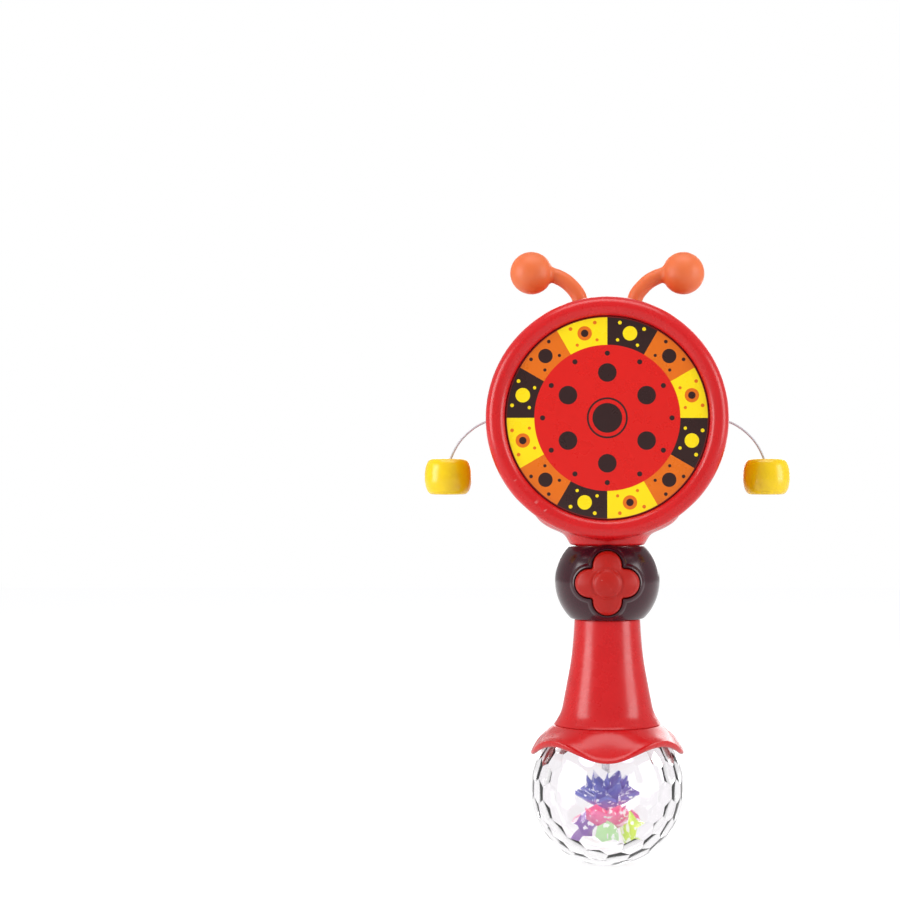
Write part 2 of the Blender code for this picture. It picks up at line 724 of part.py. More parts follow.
def make_handle():
    shell = handle_blank()
    skin = place("battery_door", settled(shell), RED)
    screw_z = HANDLE_FOOT_Z + HANDLE_SCREW_RISE
    line = [(radius - WALL / 2, height) for radius, height in handle_line()]
    core = turned("handle_core", [(0.0, HANDLE_TOP_Z), *line, (0.0, HANDLE_FOOT_Z)], steps=MIDDLE_STEPS)
    reach = 2 * NECK_BALL_RADIUS
    for side in (-1, 1):
        join(shell, screw_boss(f"handle_boss_{side}", side * HANDLE_SCREW_X, screw_z, -reach, reach, core))
    for side, hand in ((-1, "left"), (1, "right")):
        x = side * HANDLE_SCREW_X
        cut(shell, screw_hole(f"handle_screw_hole_{side}", x, screw_z, HANDLE_SCREW_SEAT_Y, reach))
        make_screw(f"handle_screw_{hand}", along_y(x, HANDLE_SCREW_SEAT_Y, screw_z))
    front_half("handle_front", shell, RED, 2 * NECK_BALL_Z)
    rear = rear_half("handle_rear", shell, RED, 2 * NECK_BALL_Z)
    window = box(
        "door_window",
        (-DOOR_HALF_WIDTH, -CLEARANCE, DOOR_FOOT_Z),
        (DOOR_HALF_WIDTH, reach, DOOR_TOP_Z),
    )
    cut(rear, window)
    make_door(skin, rear)


def make_door(door, rear):
    """The door, its screw, and the lug on the rear shell that takes the screw."""
    fitted = box(
        "door_outline",
        (-DOOR_HALF_WIDTH + CLEARANCE, TRAY_BACK_Y, DOOR_FOOT_Z + CLEARANCE),
        (DOOR_HALF_WIDTH - CLEARANCE, 2 * TRAY_RADIUS, DOOR_TOP_Z - CLEARANCE),
    )
    keep(door, fitted)
    height, seat_y = door_screw_place()
    boss_foot = seat_y - WALL
    boss = screw_boss("door_boss", 0.0, height, boss_foot, handle_radius(height) - WALL / 2)
    join(door, boss)
    hole = screw_hole("door_screw_hole", 0.0, height, seat_y, 2 * NECK_BALL_RADIUS)
    cut(door, hole)
    lug_top = HANDLE_TOP_Z - 0.5 * WALL
    lug = box(
        "door_lug",
        (-DOOR_LUG_HALF_WIDTH, DOOR_LUG_Y, height - BOSS_RADIUS),
        (DOOR_LUG_HALF_WIDTH, boss_foot - CLEARANCE, lug_top),
    )
    bridge = box(
        "door_lug_bridge",
        (-DOOR_LUG_HALF_WIDTH, DOOR_LUG_Y, DOOR_TOP_Z + CLEARANCE),
        (DOOR_LUG_HALF_WIDTH, HANDLE_SPIGOT_RADIUS - CLEARANCE, lug_top),
    )
    join(lug, bridge)
    join(rear, lug)
    cut(rear, hole)
    make_screw("battery_door_screw", along_y(0.0, seat_y, height), length=seat_y - DOOR_SCREW_TIP_Y)


def door_screw_place():
    """Height of the door's screw and the depth at which its head seats."""
    height = DOOR_TOP_Z - DOOR_SCREW_DROP
    seat_y = handle_radius(height) - WALL - SCREW_HEAD_HEIGHT
    return height, seat_y


# Battery tray, cells and contacts
def make_battery_tray():
    low, high = POCKET_FOOT_Z, POCKET_TOP_Z
    tray = cylinder("battery_tray", TRAY_RADIUS, TRAY_FOOT_Z, TRAY_TOP_Z, BLACK, steps=MIDDLE_STEPS)
    reach = 2 * TRAY_RADIUS
    cut(tray, box("tray_back", (-reach, TRAY_BACK_Y, low - reach), (reach, reach, high + reach)))
    cell_x = CELL_RADIUS + CELL_GAP / 2
    pocket_radius = CELL_RADIUS + CELL_CLEARANCE
    for side in (-1, 1):
        middle = Matrix.Translation((side * cell_x, 0.0, 0.0))
        cut(tray, cylinder(f"cell_pocket_{side}", pocket_radius, low, high, None, middle))
    opening = box(
        "pocket_opening",
        (-cell_x - pocket_radius, 0.0, low),
        (cell_x + pocket_radius, reach, high),
    )
    cut(tray, opening)


def make_cells():
    foot, top = CELL_FOOT_Z, CELL_TOP_Z
    cell_x = CELL_RADIUS + CELL_GAP / 2
    edge = 0.0006
    outline = (
        (0.0, top + CELL_CAP_HEIGHT),
        (CELL_CAP_RADIUS, top + CELL_CAP_HEIGHT),
        (CELL_CAP_RADIUS, top),
        (CELL_RADIUS - edge, top),
        (CELL_RADIUS, top - edge),
        (CELL_RADIUS, foot + edge),
        (CELL_RADIUS - edge, foot),
        (0.0, foot),
    )
    for side, hand in ((-1, "left"), (1, "right")):
        middle = Matrix.Translation((side * cell_x, 0.0, 0.0))
        turned(f"battery_{hand}", outline, CELL, middle, SMALL_STEPS)


def leaf_strip(name, line, y_low, y_high):
    """A bent metal strip: an outline of (x, z) drawn out along Y."""
    rings = [[(x, y, z) for x, z in line] for y in (y_low, y_high)]
    return loft(name, rings, STEEL)


def make_contacts():
    cell_x = CELL_RADIUS + CELL_GAP / 2
    reach = cell_x + CELL_RADIUS * 0.8
    foot = POCKET_FOOT_Z + CLEARANCE
    thick = CONTACT_THICKNESS
    bump = CONTACT_SPRING_REACH
    half = 0.0022
    top_side = [(-reach, foot + thick)]
    for x in (-cell_x, cell_x):
        top_side += [
            (x - half, foot + thick),
            (x - half / 3, foot + thick + bump),
            (x + half / 3, foot + thick + bump),
            (x + half, foot + thick),
        ]
    top_side.append((reach, foot + thick))
    leaf_strip(
        "battery_contact_bridge",
        [(-reach, foot), (reach, foot), *reversed(top_side)],
        CLEARANCE,
        CLEARANCE + 0.8 * CONTACT_WIDTH,
    )
    ceiling = POCKET_TOP_Z - CLEARANCE
    for side, hand in ((-1, "left"), (1, "right")):
        middle = side * cell_x
        line = [
            (middle - half, ceiling - thick),
            (middle + half, ceiling - thick),
            (middle + half, ceiling),
            (middle - half, ceiling),
        ]
        leaf_strip(f"battery_contact_{hand}", line, -CONTACT_WIDTH / 2, CONTACT_WIDTH / 2)


# Neck ball
def neck_ball_blank():
    inner_radius = NECK_BALL_RADIUS - WALL
    low = NECK_BALL_FOOT_Z + NECK_BALL_FLOOR
    high = NECK_BALL_TOP_Z - NECK_BALL_FLOOR
    centre = (0.0, NECK_BALL_Z)
    outer = arc(
        centre,
        NECK_BALL_RADIUS,
        math.atan2(NECK_BALL_ABOVE, NECK_BALL_TOP_RADIUS),
        math.atan2(-NECK_BALL_BELOW, NECK_BALL_FOOT_RADIUS),
        8,
    )
    inner = arc(
        centre,
        inner_radius,
        math.atan2(low - NECK_BALL_Z, sphere_height(inner_radius, NECK_BALL_Z - low)),
        math.atan2(high - NECK_BALL_Z, sphere_height(inner_radius, high - NECK_BALL_Z)),
        4,
    )
    hole = HANDLE_SPIGOT_RADIUS + CLEARANCE
    outline = [
        (hole, NECK_BALL_TOP_Z),
        *outer,
        (hole, NECK_BALL_FOOT_Z),
        (hole, low),
        *inner,
        (hole, high),
    ]
    return turned("neck_ball_blank", outline, steps=MIDDLE_STEPS, ring=True)


def make_neck_ball():
    blank = neck_ball_blank()
    radius = NECK_BALL_RADIUS - WALL / 2
    line = arc((0.0, NECK_BALL_Z), radius, math.pi / 2, -math.pi / 2, 12)
    core = turned("neck_ball_core", line, steps=MIDDLE_STEPS)
    flange_low = button_flange_top() - BUTTON_FLANGE_THICKNESS
    front = flange_low - BUTTON_TRAVEL - CLEARANCE
    for side, hand in ((-1, "left"), (1, "right")):
        x = side * NECK_SCREW_X
        boss = screw_boss(f"neck_boss_{side}", x, NECK_BALL_Z, -front, NECK_BALL_RADIUS, core)
        join(blank, boss)
        make_screw(f"neck_screw_{hand}", along_y(x, NECK_SCREW_SEAT_Y, NECK_BALL_Z))
    for side in (-1, 1):
        x = side * NECK_SCREW_X
        hole = screw_hole(f"neck_screw_hole_{side}", x, NECK_BALL_Z, NECK_SCREW_SEAT_Y, 2 * NECK_BALL_RADIUS)
        cut(blank, hole)
    make_neck_front(blank)
    make_neck_rear(blank)


def make_neck_front(blank):
    """The front half has a flower-shaped hole with a raised lip."""
    front = front_half("neck_ball_front", blank, BROWN, 2 * NECK_BALL_Z)
    facing = facing_front(z=NECK_BALL_Z)
    low = sphere_height(NECK_BALL_RADIUS - WALL, FLOWER_REACH + LIP_WIDTH) + 0.0004
    lip = flower_bar("lip_bar", BUTTON_GAP + LIP_WIDTH, low, 2 * NECK_BALL_RADIUS, facing)
    dome = arc((0.0, 0.0), NECK_BALL_RADIUS + LIP_RISE, math.pi / 2, 0.0, 10)
    keep(lip, turned("lip_dome", [*dome, (0.0, 0.0)], None, facing, MIDDLE_STEPS))
    join(front, lip)
    cut(front, flower_bar("button_hole", BUTTON_GAP, 0.5 * NECK_BALL_RADIUS, 2 * NECK_BALL_RADIUS, facing))


def speaker_front():
    """Depth of the speaker's rim, just inside the rear shell."""
    return sphere_height(NECK_BALL_RADIUS - WALL, SPEAKER_RADIUS) - 2 * CLEARANCE


def make_neck_rear(blank):
    """The rear half has the speaker's collar and sound holes."""
    rear = rear_half("neck_ball_rear", blank, BROWN, 2 * NECK_BALL_Z)
    shell_y = sphere_height(NECK_BALL_RADIUS - WALL / 2, SPEAKER_RADIUS + SPEAKER_COLLAR_WALL)
    inner = SPEAKER_RADIUS + CLEARANCE
    outer = inner + SPEAKER_COLLAR_WALL
    low = speaker_front() - SPEAKER_RIM - 2 * CLEARANCE
    collar = turned(
        "speaker_collar",
        ((outer, shell_y), (outer, low), (inner, low), (inner, shell_y)),
        None,
        along_y(z=NECK_BALL_Z),
        SMALL_STEPS,
        ring=True,
    )
    join(rear, collar)
    places = [(0.0, 0.0)] + [
        (
            SOUND_HOLE_RING * math.cos(2 * math.pi * i / SOUND_HOLES),
            SOUND_HOLE_RING * math.sin(2 * math.pi * i / SOUND_HOLES),
        )
        for i in range(SOUND_HOLES)
    ]
    for i, (x, z) in enumerate(places):
        hole = cylinder(
            f"sound_hole_{i}",
            SOUND_HOLE_RADIUS,
            0.8 * NECK_BALL_RADIUS,
            1.2 * NECK_BALL_RADIUS,
            None,
            along_y(x, 0.0, NECK_BALL_Z + z),
            PIN_STEPS,
        )
        cut(rear, hole)


def make_speaker():
    front = speaker_front()
    rim = front - SPEAKER_RIM
    outline = (
        (0.0, front - 0.0008),
        (0.7 * SPEAKER_RADIUS, front - 0.0004),
        (0.82 * SPEAKER_RADIUS, front),
        (SPEAKER_RADIUS, front),
        (SPEAKER_RADIUS, rim),
        (SPEAKER_MAGNET_RADIUS, rim - 0.0008),
        (SPEAKER_MAGNET_RADIUS, rim - SPEAKER_MAGNET_DEPTH),
        (0.0, rim - SPEAKER_MAGNET_DEPTH),
    )
    turned("speaker", outline, BLACK, along_y(z=NECK_BALL_Z), SMALL_STEPS)


def make_board():
    half_width = NECK_SCREW_X - BOSS_RADIUS - CLEARANCE
    back = BOARD_FRONT_Y + BOARD_THICKNESS
    box(
        "sound_board",
        (-half_width, BOARD_FRONT_Y, TRAY_TOP_Z + BOARD_SPACE),
        (half_width, back, NECK_FLANGE_Z - 2 * CLEARANCE),
        BOARD,
    )
    base = -BOARD_FRONT_Y + CLEARANCE
    outline = (
        (0.0, base + SWITCH_HEIGHT),
        (0.55 * SWITCH_BASE_RADIUS, base + SWITCH_HEIGHT),
        (0.7 * SWITCH_BASE_RADIUS, base + 0.3 * SWITCH_HEIGHT),
        (SWITCH_BASE_RADIUS, base + 0.2 * SWITCH_HEIGHT),
        (SWITCH_BASE_RADIUS, base),
        (0.0, base),
    )
    turned("switch_dome", outline, RUBBER, facing_front(z=NECK_BALL_Z), SMALL_STEPS)


def button_flange_top():
    """How far in front of the neck ball's centre the button's flange stops against the shell."""
    return sphere_height(NECK_BALL_RADIUS - WALL, FLOWER_REACH + BUTTON_FLANGE) - CLEARANCE


def button_rings():
    """Rings of the button from its flange up to the crown, petals domed and the centre raised."""
    flange_top = button_flange_top()
    flange_low = flange_top - BUTTON_FLANGE_THICKNESS
    outline = flower_outline(0.0)
    wide = flower_outline(BUTTON_FLANGE)
    rings = [[(x, y, flange_low) for x, y in wide], [(x, y, flange_top) for x, y in wide]]
    rings.append([(x, y, flange_top) for x, y in outline])
    tip = sphere_height(BUTTON_DOME_RADIUS, FLOWER_REACH) - BUTTON_EDGE
    rings.append([(x, y, tip) for x, y in outline])
    for share in (0.91, 0.68):
        ring = []
        for x, y in outline:
            across = math.hypot(x, y) * share
            fall = BUTTON_EDGE * max(0.0, (share - 0.8) / 0.2) ** 2
            valley = 0.0006 * share * (1 - math.cos(4 * math.atan2(y, x))) / 2
            ring.append((x * share, y * share, sphere_height(BUTTON_DOME_RADIUS, across) - fall - valley))
        rings.append(ring)
    for share, lift in ((1.0, 0.0), (0.86, 0.8), (0.4, 1.1)):
        ring = []
        for x, y in outline:
            angle = math.atan2(y, x)
            across = BUTTON_CENTRE_RADIUS * share
            height = sphere_height(BUTTON_DOME_RADIUS, across) - 0.0004 * (1 - lift)
            height += BUTTON_CENTRE_RISE * lift
            ring.append((across * math.cos(angle), across * math.sin(angle), height))
        rings.append(ring)
    return rings, flange_low


def make_button():
    rings, flange_low = button_rings()
    facing = facing_front(z=NECK_BALL_Z)
    button = loft("flower_button", rings, BUTTON_RED, facing)
    roof = sphere_height(BUTTON_DOME_RADIUS, FLOWER_REACH) - BUTTON_EDGE - BUTTON_WALL / 2
    cut(button, flower_bar("button_hollow", -BUTTON_WALL, flange_low - 0.001, roof, facing))
    stem_foot = -BOARD_FRONT_Y + SWITCH_HEIGHT + 2 * CLEARANCE
    stem_top = roof + BUTTON_WALL / 2
    join(button, cylinder("button_stem", BUTTON_STEM_RADIUS, stem_foot, stem_top, None, facing))
    reach = 2 * NECK_BALL_RADIUS
    front = -FLANGE_RADIUS - BUTTON_TRAVEL - CLEARANCE
    rise = NECK_FLANGE_Z - CLEARANCE
    drop = 2 * NECK_BALL_Z - rise
    cut(
        button,
        box("relief_above", (-reach, front, rise), (reach, 0.0, rise + reach)),
        box("relief_below", (-reach, front, drop - reach), (reach, 0.0, drop)),
    )


# Drum casing
def drum_radius(depth):
    """Outer radius of the barrel between its waist and the widest line of a rim."""
    share = min(1.0, abs(depth) / DRUM_RIM_EDGE_Y)
    swell = 0.5 - 0.5 * math.cos(math.pi * share)
    return DRUM_WAIST_RADIUS + (DRUM_RIM_RADIUS - DRUM_WAIST_RADIUS) * swell


def rim_line():
    """From the ledge round the rear rim to the waist, as (radius, depth)."""
    seat = HEAD_RADIUS + CLEARANCE
    crest = DRUM_RIM_RADIUS - DRUM_RIM_WIDTH / 2
    line = [(seat, LEDGE_Y), (seat, HEAD_FACE_Y)]
    for i in (1, 2):
        turn = math.pi / 2 * i / 2
        line.append(
            (crest - (crest - seat) * math.cos(turn), HEAD_FACE_Y + HEAD_RECESS * math.sin(turn))
        )
    for i in (1, 2, 3):
        turn = math.pi / 2 * i / 3
        line.append(
            (
                crest + (DRUM_RIM_RADIUS - crest) * math.sin(turn),
                DRUM_RIM_EDGE_Y + (DRUM_HALF_DEPTH - DRUM_RIM_EDGE_Y) * math.cos(turn),
            )
        )
    depths = [DRUM_RIM_EDGE_Y * share for share in (0.7, 0.35, 0.0)]
    return line + [(drum_radius(depth), depth) for depth in depths]


def drum_blank():
    half = rim_line()
    outer = half + [(radius, -depth) for radius, depth in reversed(half[:-1])]
    centre = along_y(z=DRUM_Z)
    blank = turned(
        "drum_blank", [(0.0, LEDGE_Y), *outer, (0.0, -LEDGE_Y)], None, centre, LARGE_STEPS
    )
    join(blank, neck_flare("neck_flare", 0.0))
    cut(blank, neck_flare("neck_hollow", WALL))
    wall_y = LEDGE_Y - WALL
    opening = HEAD_RADIUS - LEDGE_WIDTH
    depths = [wall_y * share for share in (1.0, 0.5, 0.0, -0.5, -1.0)]
    hollow = [
        (0.0, DRUM_HALF_DEPTH),
        (opening, DRUM_HALF_DEPTH),
        (opening, wall_y),
        *((drum_radius(depth) - WALL, depth) for depth in depths),
        (opening, -wall_y),
        (opening, -DRUM_HALF_DEPTH),
        (0.0, -DRUM_HALF_DEPTH),
    ]
    cut(blank, turned("drum_hollow", hollow, None, centre, LARGE_STEPS))
    return blank


def neck_flare(name, wall):
    """Ovals that widen from the neck's foot and run into the barrel, or their hollow."""
    rings = []
    sides = 24
    for rise, wider, deeper in NECK_FLARE:
        half_width = NECK_HALF_WIDTH + wider - wall
        half_depth = NECK_HALF_DEPTH + deeper - wall
        turns = [2 * math.pi * i / sides for i in range(sides)]
        height = NECK_FOOT_Z + rise + wall
        rings.append([(half_width * math.cos(t), half_depth * math.sin(t), height) for t in turns])
    return loft(name, rings)


def neck_spigot():
    """The collar under the neck, with the flange that the neck ball holds."""
    flange_top = NECK_FLANGE_Z + FLANGE_THICKNESS
    outline = (
        (0.0, NECK_FOOT_Z + WALL / 2),
        (HANDLE_SPIGOT_RADIUS, NECK_FOOT_Z + WALL / 2),
        (HANDLE_SPIGOT_RADIUS, flange_top),
        (FLANGE_RADIUS, flange_top),
        (FLANGE_RADIUS, NECK_FLANGE_Z),
        (0.0, NECK_FLANGE_Z),
    )
    return turned("neck_spigot", outline, steps=MIDDLE_STEPS)


def drum_screw_places():
    places = []
    for quarter, hand in enumerate(("upper_right", "upper_left", "lower_left", "lower_right")):
        angle = math.pi / 4 + quarter * math.pi / 2
        across, up = DRUM_SCREW_CIRCLE * math.cos(angle), DRUM_SCREW_CIRCLE * math.sin(angle)
        places.append((hand, across, DRUM_Z + up))
    return places


def radial(angle):
    """Turns local +Z to point away from the drum's centre, at an angle from straight up."""
    return Matrix.Translation((0.0, 0.0, DRUM_Z)) @ Matrix.Rotation(angle, 4, "Y")


def make_drum_casing():
    blank = drum_blank()
    length = LEDGE_Y - WALL / 2
    for hand, x, z in drum_screw_places():
        join(blank, screw_boss(f"drum_boss_{hand}", x, z, -length, length, None, DRUM_BOSS_RADIUS))
    join(blank, neck_spigot())
    cut(blank, cylinder("neck_bore", NECK_BORE_RADIUS, NECK_BALL_Z, NECK_FOOT_Z + 2 * WALL))
    for hand, x, z in drum_screw_places():
        hole = screw_hole(f"drum_screw_hole_{hand}", x, z, DRUM_SCREW_SEAT_Y, 2 * DRUM_HALF_DEPTH)
        cut(blank, hole)
        make_screw(f"drum_screw_{hand}", along_y(x, DRUM_SCREW_SEAT_Y, z))
    low, high = 0.9 * DRUM_WAIST_RADIUS, 1.2 * DRUM_WAIST_RADIUS
    for side in (-1, 1):
        cord_way = radial(side * math.pi / 2)
        antenna_way = radial(side * ANTENNA_LEAN)
        antenna_bore = ANTENNA_STEM_RADIUS + CLEARANCE
        cut(
            blank,
            cylinder(f"cord_hole_{side}", CORD_HOLE_RADIUS, low, high, None, cord_way, PIN_STEPS),
            cylinder(f"antenna_hole_{side}", antenna_bore, low, high, None, antenna_way),
        )
    front_half("drum_casing_front", blank, RED, 2 * DRUM_Z)
    rear_half("drum_casing_rear", blank, RED, 2 * DRUM_Z)


def make_drum_heads():
    edge = 0.0003
    back = HEAD_FACE_Y - HEAD_THICKNESS
    outline = (
        (0.0, HEAD_FACE_Y),
        (HEAD_RADIUS - edge, HEAD_FACE_Y),
        (HEAD_RADIUS, HEAD_FACE_Y - edge),
        (HEAD_RADIUS, back),
        (0.0, back),
    )
    turned("drum_head_rear", outline, PRINTED, along_y(z=DRUM_Z), LARGE_STEPS)
    turned("drum_head_front", outline, PRINTED, facing_front(z=DRUM_Z), LARGE_STEPS)


# Antennae
def antenna_line():
    """Points (across, up from the drum's centre) and radii: flange, stem, then ball."""
    lean = Vector((math.sin(ANTENNA_LEAN), math.cos(ANTENNA_LEAN)))
    inside = DRUM_WAIST_RADIUS - WALL - 2 * CLEARANCE
    places = [lean * (inside - ANTENNA_FLANGE), lean * (inside - 0.0002), lean * inside]
    radii = [ANTENNA_FLANGE_RADIUS, ANTENNA_FLANGE_RADIUS, ANTENNA_STEM_RADIUS]
    ball = Vector((ANTENNA_BALL_X, ANTENNA_BALL_RISE))
    inward = (ball - Vector(ANTENNA_BEND[-1])).normalized()
    start = sphere_height(ANTENNA_BALL_RADIUS, ANTENNA_STEM_RADIUS)
    stem = [(*(lean * (inside + 0.0030)), 0.0), *((*bend, 0.0) for bend in ANTENNA_BEND)]
    stem.append((*(ball - inward * start), 0.0))
    curve = [Vector((point.x, point.y)) for point in smooth_line(stem, 2)]
    places += curve
    radii += [ANTENNA_STEM_RADIUS] * len(curve)
    first = math.acos(start / ANTENNA_BALL_RADIUS)
    steps = 7
    for i in range(1, steps + 1):
        turn = first + (math.pi - first) * i / steps
        places.append(ball - inward * ANTENNA_BALL_RADIUS * math.cos(turn))
        radii.append(max(0.02, math.sin(turn)) * ANTENNA_BALL_RADIUS)
    return places, radii


def make_antennae():
    places, radii = antenna_line()
    for side, hand in ((-1, "left"), (1, "right")):
        line = [(side * across, 0.0, DRUM_Z + up) for across, up in places]
        scales = [radius / ANTENNA_STEM_RADIUS for radius in radii]
        tube(f"antenna_{hand}", line, ANTENNA_STEM_RADIUS, ORANGE, 4, scales)


# Beads and their cords
def make_bead(hand, side):
    half = BEAD_HEIGHT / 2
    flat = 0.62 * BEAD_RADIUS
    side_line = []
    for i in range(7):
        turn = math.pi * (i / 6 - 0.5)
        height = -half * math.sin(turn)
        side_line.append((flat + (BEAD_RADIUS - flat) * math.cos(turn) ** 0.75, height))
    ceiling = BEAD_POCKET_DEPTH - half
    outline = [
        (BEAD_MOUTH_RADIUS, half),
        *side_line,
        (BEAD_POCKET_RADIUS, -half),
        (BEAD_POCKET_RADIUS, ceiling),
        (BEAD_BORE_RADIUS, ceiling),
        (BEAD_BORE_RADIUS, half - BEAD_MOUTH_DEPTH),
    ]
    place_on_cord = Matrix.Translation((side * BEAD_X, 0.0, BEAD_Z))
    turned(f"bead_{hand}", outline, YELLOW, place_on_cord, SMALL_STEPS, ring=True)


def round_end(radius, tip, towards, pieces=2):
    """Outline points of a ball-shaped cord end, from its tip back to the cord's full radius."""
    return [
        (
            radius * math.sin(math.pi / 2 * i / pieces),
            tip + towards * radius * (1 - math.cos(math.pi / 2 * i / pieces)),
        )
        for i in range(pieces + 1)
    ]


def make_knot(name, centre, matrix, stem=()):
    """A round knot at a height on its axis, with a stretch of cord out of its top where one is given."""
    steps = 5
    first = math.asin(CORD_RADIUS / KNOT_RADIUS) if stem else 0.0
    turns = [first + (math.pi - first) * i / steps for i in range(steps)]
    ball = [(KNOT_RADIUS * math.sin(t), centre + KNOT_RADIUS * math.cos(t)) for t in turns]
    turned(name, [*stem, *ball, (0.0, centre - KNOT_RADIUS)], CORD, matrix, PIN_STEPS)


def make_cord(hand, side):
    """A cord in three stretches: its anchor in the casing, a short root, and the rest down to the bead."""
    sideways = radial(side * math.pi / 2)
    stem = round_end(CORD_RADIUS, CORD_SWING_X - CORD_PIVOT_GAP, -1)
    anchor = DRUM_WAIST_RADIUS - WALL - CLEARANCE - KNOT_RADIUS
    make_knot(f"cord_anchor_{hand}", anchor, sideways, stem)
    root_end = round_end(CORD_RADIUS, CORD_LIFT_X - CORD_PIVOT_GAP, -1)
    root_start = round_end(CORD_RADIUS, CORD_SWING_X + CORD_PIVOT_GAP, 1)
    turned(f"cord_root_{hand}", [*root_end, *reversed(root_start)], CORD, sideways, PIN_STEPS)
    ceiling = BEAD_POCKET_DEPTH - BEAD_HEIGHT / 2 - BEAD_DROP
    start = CORD_LIFT_X + CORD_PIVOT_GAP
    route = [(start + CORD_RADIUS, 0.0, 0.0)]
    route += [(DRUM_WAIST_RADIUS + out, 0.0, -down) for out, down in CORD_ROUTE]
    route.append((BEAD_X, 0.0, -BEAD_DROP + BEAD_HEIGHT / 2 - BEAD_MOUTH_DEPTH - CLEARANCE))
    route.append((BEAD_X, 0.0, ceiling + KNOT_RADIUS))
    route.append((BEAD_X, 0.0, ceiling))
    tip = round_end(CORD_RADIUS, start, 1)
    line = [(side * across, 0.0, DRUM_Z) for _, across in tip[1:-1]]
    radii = [radius / CORD_RADIUS for radius, _ in tip[1:-1]]
    curve = smooth_line(route, 2)
    line += [(side * point.x, 0.0, DRUM_Z + point.z) for point in curve]
    radii += [1.0] * len(curve)
    tube(f"cord_{hand}", line, CORD_RADIUS, CORD, 1, radii)
    on_cord = Matrix.Translation((side * BEAD_X, 0.0, DRUM_Z))
    make_knot(f"bead_knot_{hand}", ceiling - CLEARANCE - KNOT_RADIUS, on_cord)


# Lamp tray, motor and spinner
def make_lamp_tray():
    floor = LAMP_FLANGE_Z - LAMP_TRAY_DEPTH
    wall = LAMP_TRAY_WALL
    nose_hole = MOTOR_NOSE_RADIUS + CLEARANCE
    outline = (
        (LAMP_FLANGE_RADIUS, LAMP_FLANGE_Z + LAMP_FLANGE),
        (LAMP_FLANGE_RADIUS, LAMP_FLANGE_Z),
        (LAMP_TRAY_TOP_RADIUS, LAMP_FLANGE_Z),
        (LAMP_TRAY_FLOOR_RADIUS, floor),
        (nose_hole, floor),
        (nose_hole, floor + wall),
        (LAMP_TRAY_FLOOR_RADIUS - wall, floor + wall),
        (LAMP_TRAY_TOP_RADIUS - wall, LAMP_FLANGE_Z),
        (LAMP_TRAY_TOP_RADIUS - wall, LAMP_FLANGE_Z + LAMP_FLANGE),
    )
    tray = turned("lamp_tray", outline, WHITE, None, SMALL_STEPS, ring=True)
    base = floor + wall + CLEARANCE
    head = base + LAMP_RIM
    lens = arc((0.0, head - LAMP_LENGTH + LAMP_RADIUS), LAMP_RADIUS, 0.0, -math.pi / 2, 3)
    outline = [
        (0.0, head),
        (LAMP_RADIUS + 0.4 * LAMP_RIM, head),
        (LAMP_RADIUS + 0.4 * LAMP_RIM, base),
        (LAMP_RADIUS, base),
        *lens[:-1],
        (0.0, head - LAMP_LENGTH),
    ]
    for i in range(LAMPS):
        angle = math.pi / 2 + 2 * math.pi * i / LAMPS
        spot = Matrix.Translation((LAMP_CIRCLE * math.cos(angle), LAMP_CIRCLE * math.sin(angle), 0.0))
        turned(f"lamp_{i + 1}", outline, LAMP, spot, PIN_STEPS)
        bore = LAMP_RADIUS + CLEARANCE
        cut(tray, cylinder(f"lamp_hole_{i + 1}", bore, floor - wall, base, None, spot, PIN_STEPS))
    make_motor(base)


def make_motor(base):
    bore = SHAFT_RADIUS + CLEARANCE
    nose = base - MOTOR_NOSE - CLEARANCE
    outline = (
        (0.0, base + MOTOR_HEIGHT),
        (MOTOR_RADIUS, base + MOTOR_HEIGHT),
        (MOTOR_RADIUS, base),
        (MOTOR_NOSE_RADIUS, base),
        (MOTOR_NOSE_RADIUS, nose),
        (bore, nose),
        (bore, nose + SHAFT_IN_MOTOR + CLEARANCE),
        (0.0, nose + SHAFT_IN_MOTOR + CLEARANCE),
    )
    turned("motor", outline, STEEL, None, SMALL_STEPS)
    shaft = (
        (0.0, nose + SHAFT_IN_MOTOR),
        (SHAFT_RADIUS, nose + SHAFT_IN_MOTOR),
        (SHAFT_RADIUS, SHAFT_FOOT_Z + SHAFT_FOOT),
        (STAR_HUB_RADIUS, SHAFT_FOOT_Z + SHAFT_FOOT),
        (STAR_HUB_RADIUS, SHAFT_FOOT_Z + 0.3 * SHAFT_FOOT),
        (0.5 * STAR_HUB_RADIUS, SHAFT_FOOT_Z),
        (0.0, SHAFT_FOOT_Z),
    )
    turned("spinner_shaft", shaft, STEEL, None, PIN_STEPS)


def crown(name, points, radius, foot, rise, hub_top, material):
    """A cup of pointed rays round the shaft, on a hub that reaches up to the next piece."""
    hole = SHAFT_RADIUS + CLEARANCE
    hub = STAR_HUB_RADIUS

    def ring(tip, valley, tip_z, valley_z):
        made = []
        for i in range(2 * points):
            angle = math.pi * i / points
            reach, height = (tip, tip_z) if i % 2 == 0 else (valley, valley_z)
            made.append((reach * math.cos(angle), reach * math.sin(angle), height))
        return made

    valley = 0.58 * radius
    thick = STAR_THICKNESS
    rings = [
        ring(hub, hub, foot, foot),
        ring(radius, valley, foot + rise, foot + 0.45 * rise),
        ring(
            radius - 0.3 * thick,
            valley - 0.3 * thick,
            foot + rise + 0.4 * thick,
            foot + 0.45 * rise + thick,
        ),
        ring(hub, hub, foot + 1.5 * thick, foot + 1.5 * thick),
        ring(hub, hub, hub_top, hub_top),
        ring(hole, hole, hub_top, hub_top),
        ring(hole, hole, foot, foot),
    ]
    return loft(name, rings, material, closed=True)


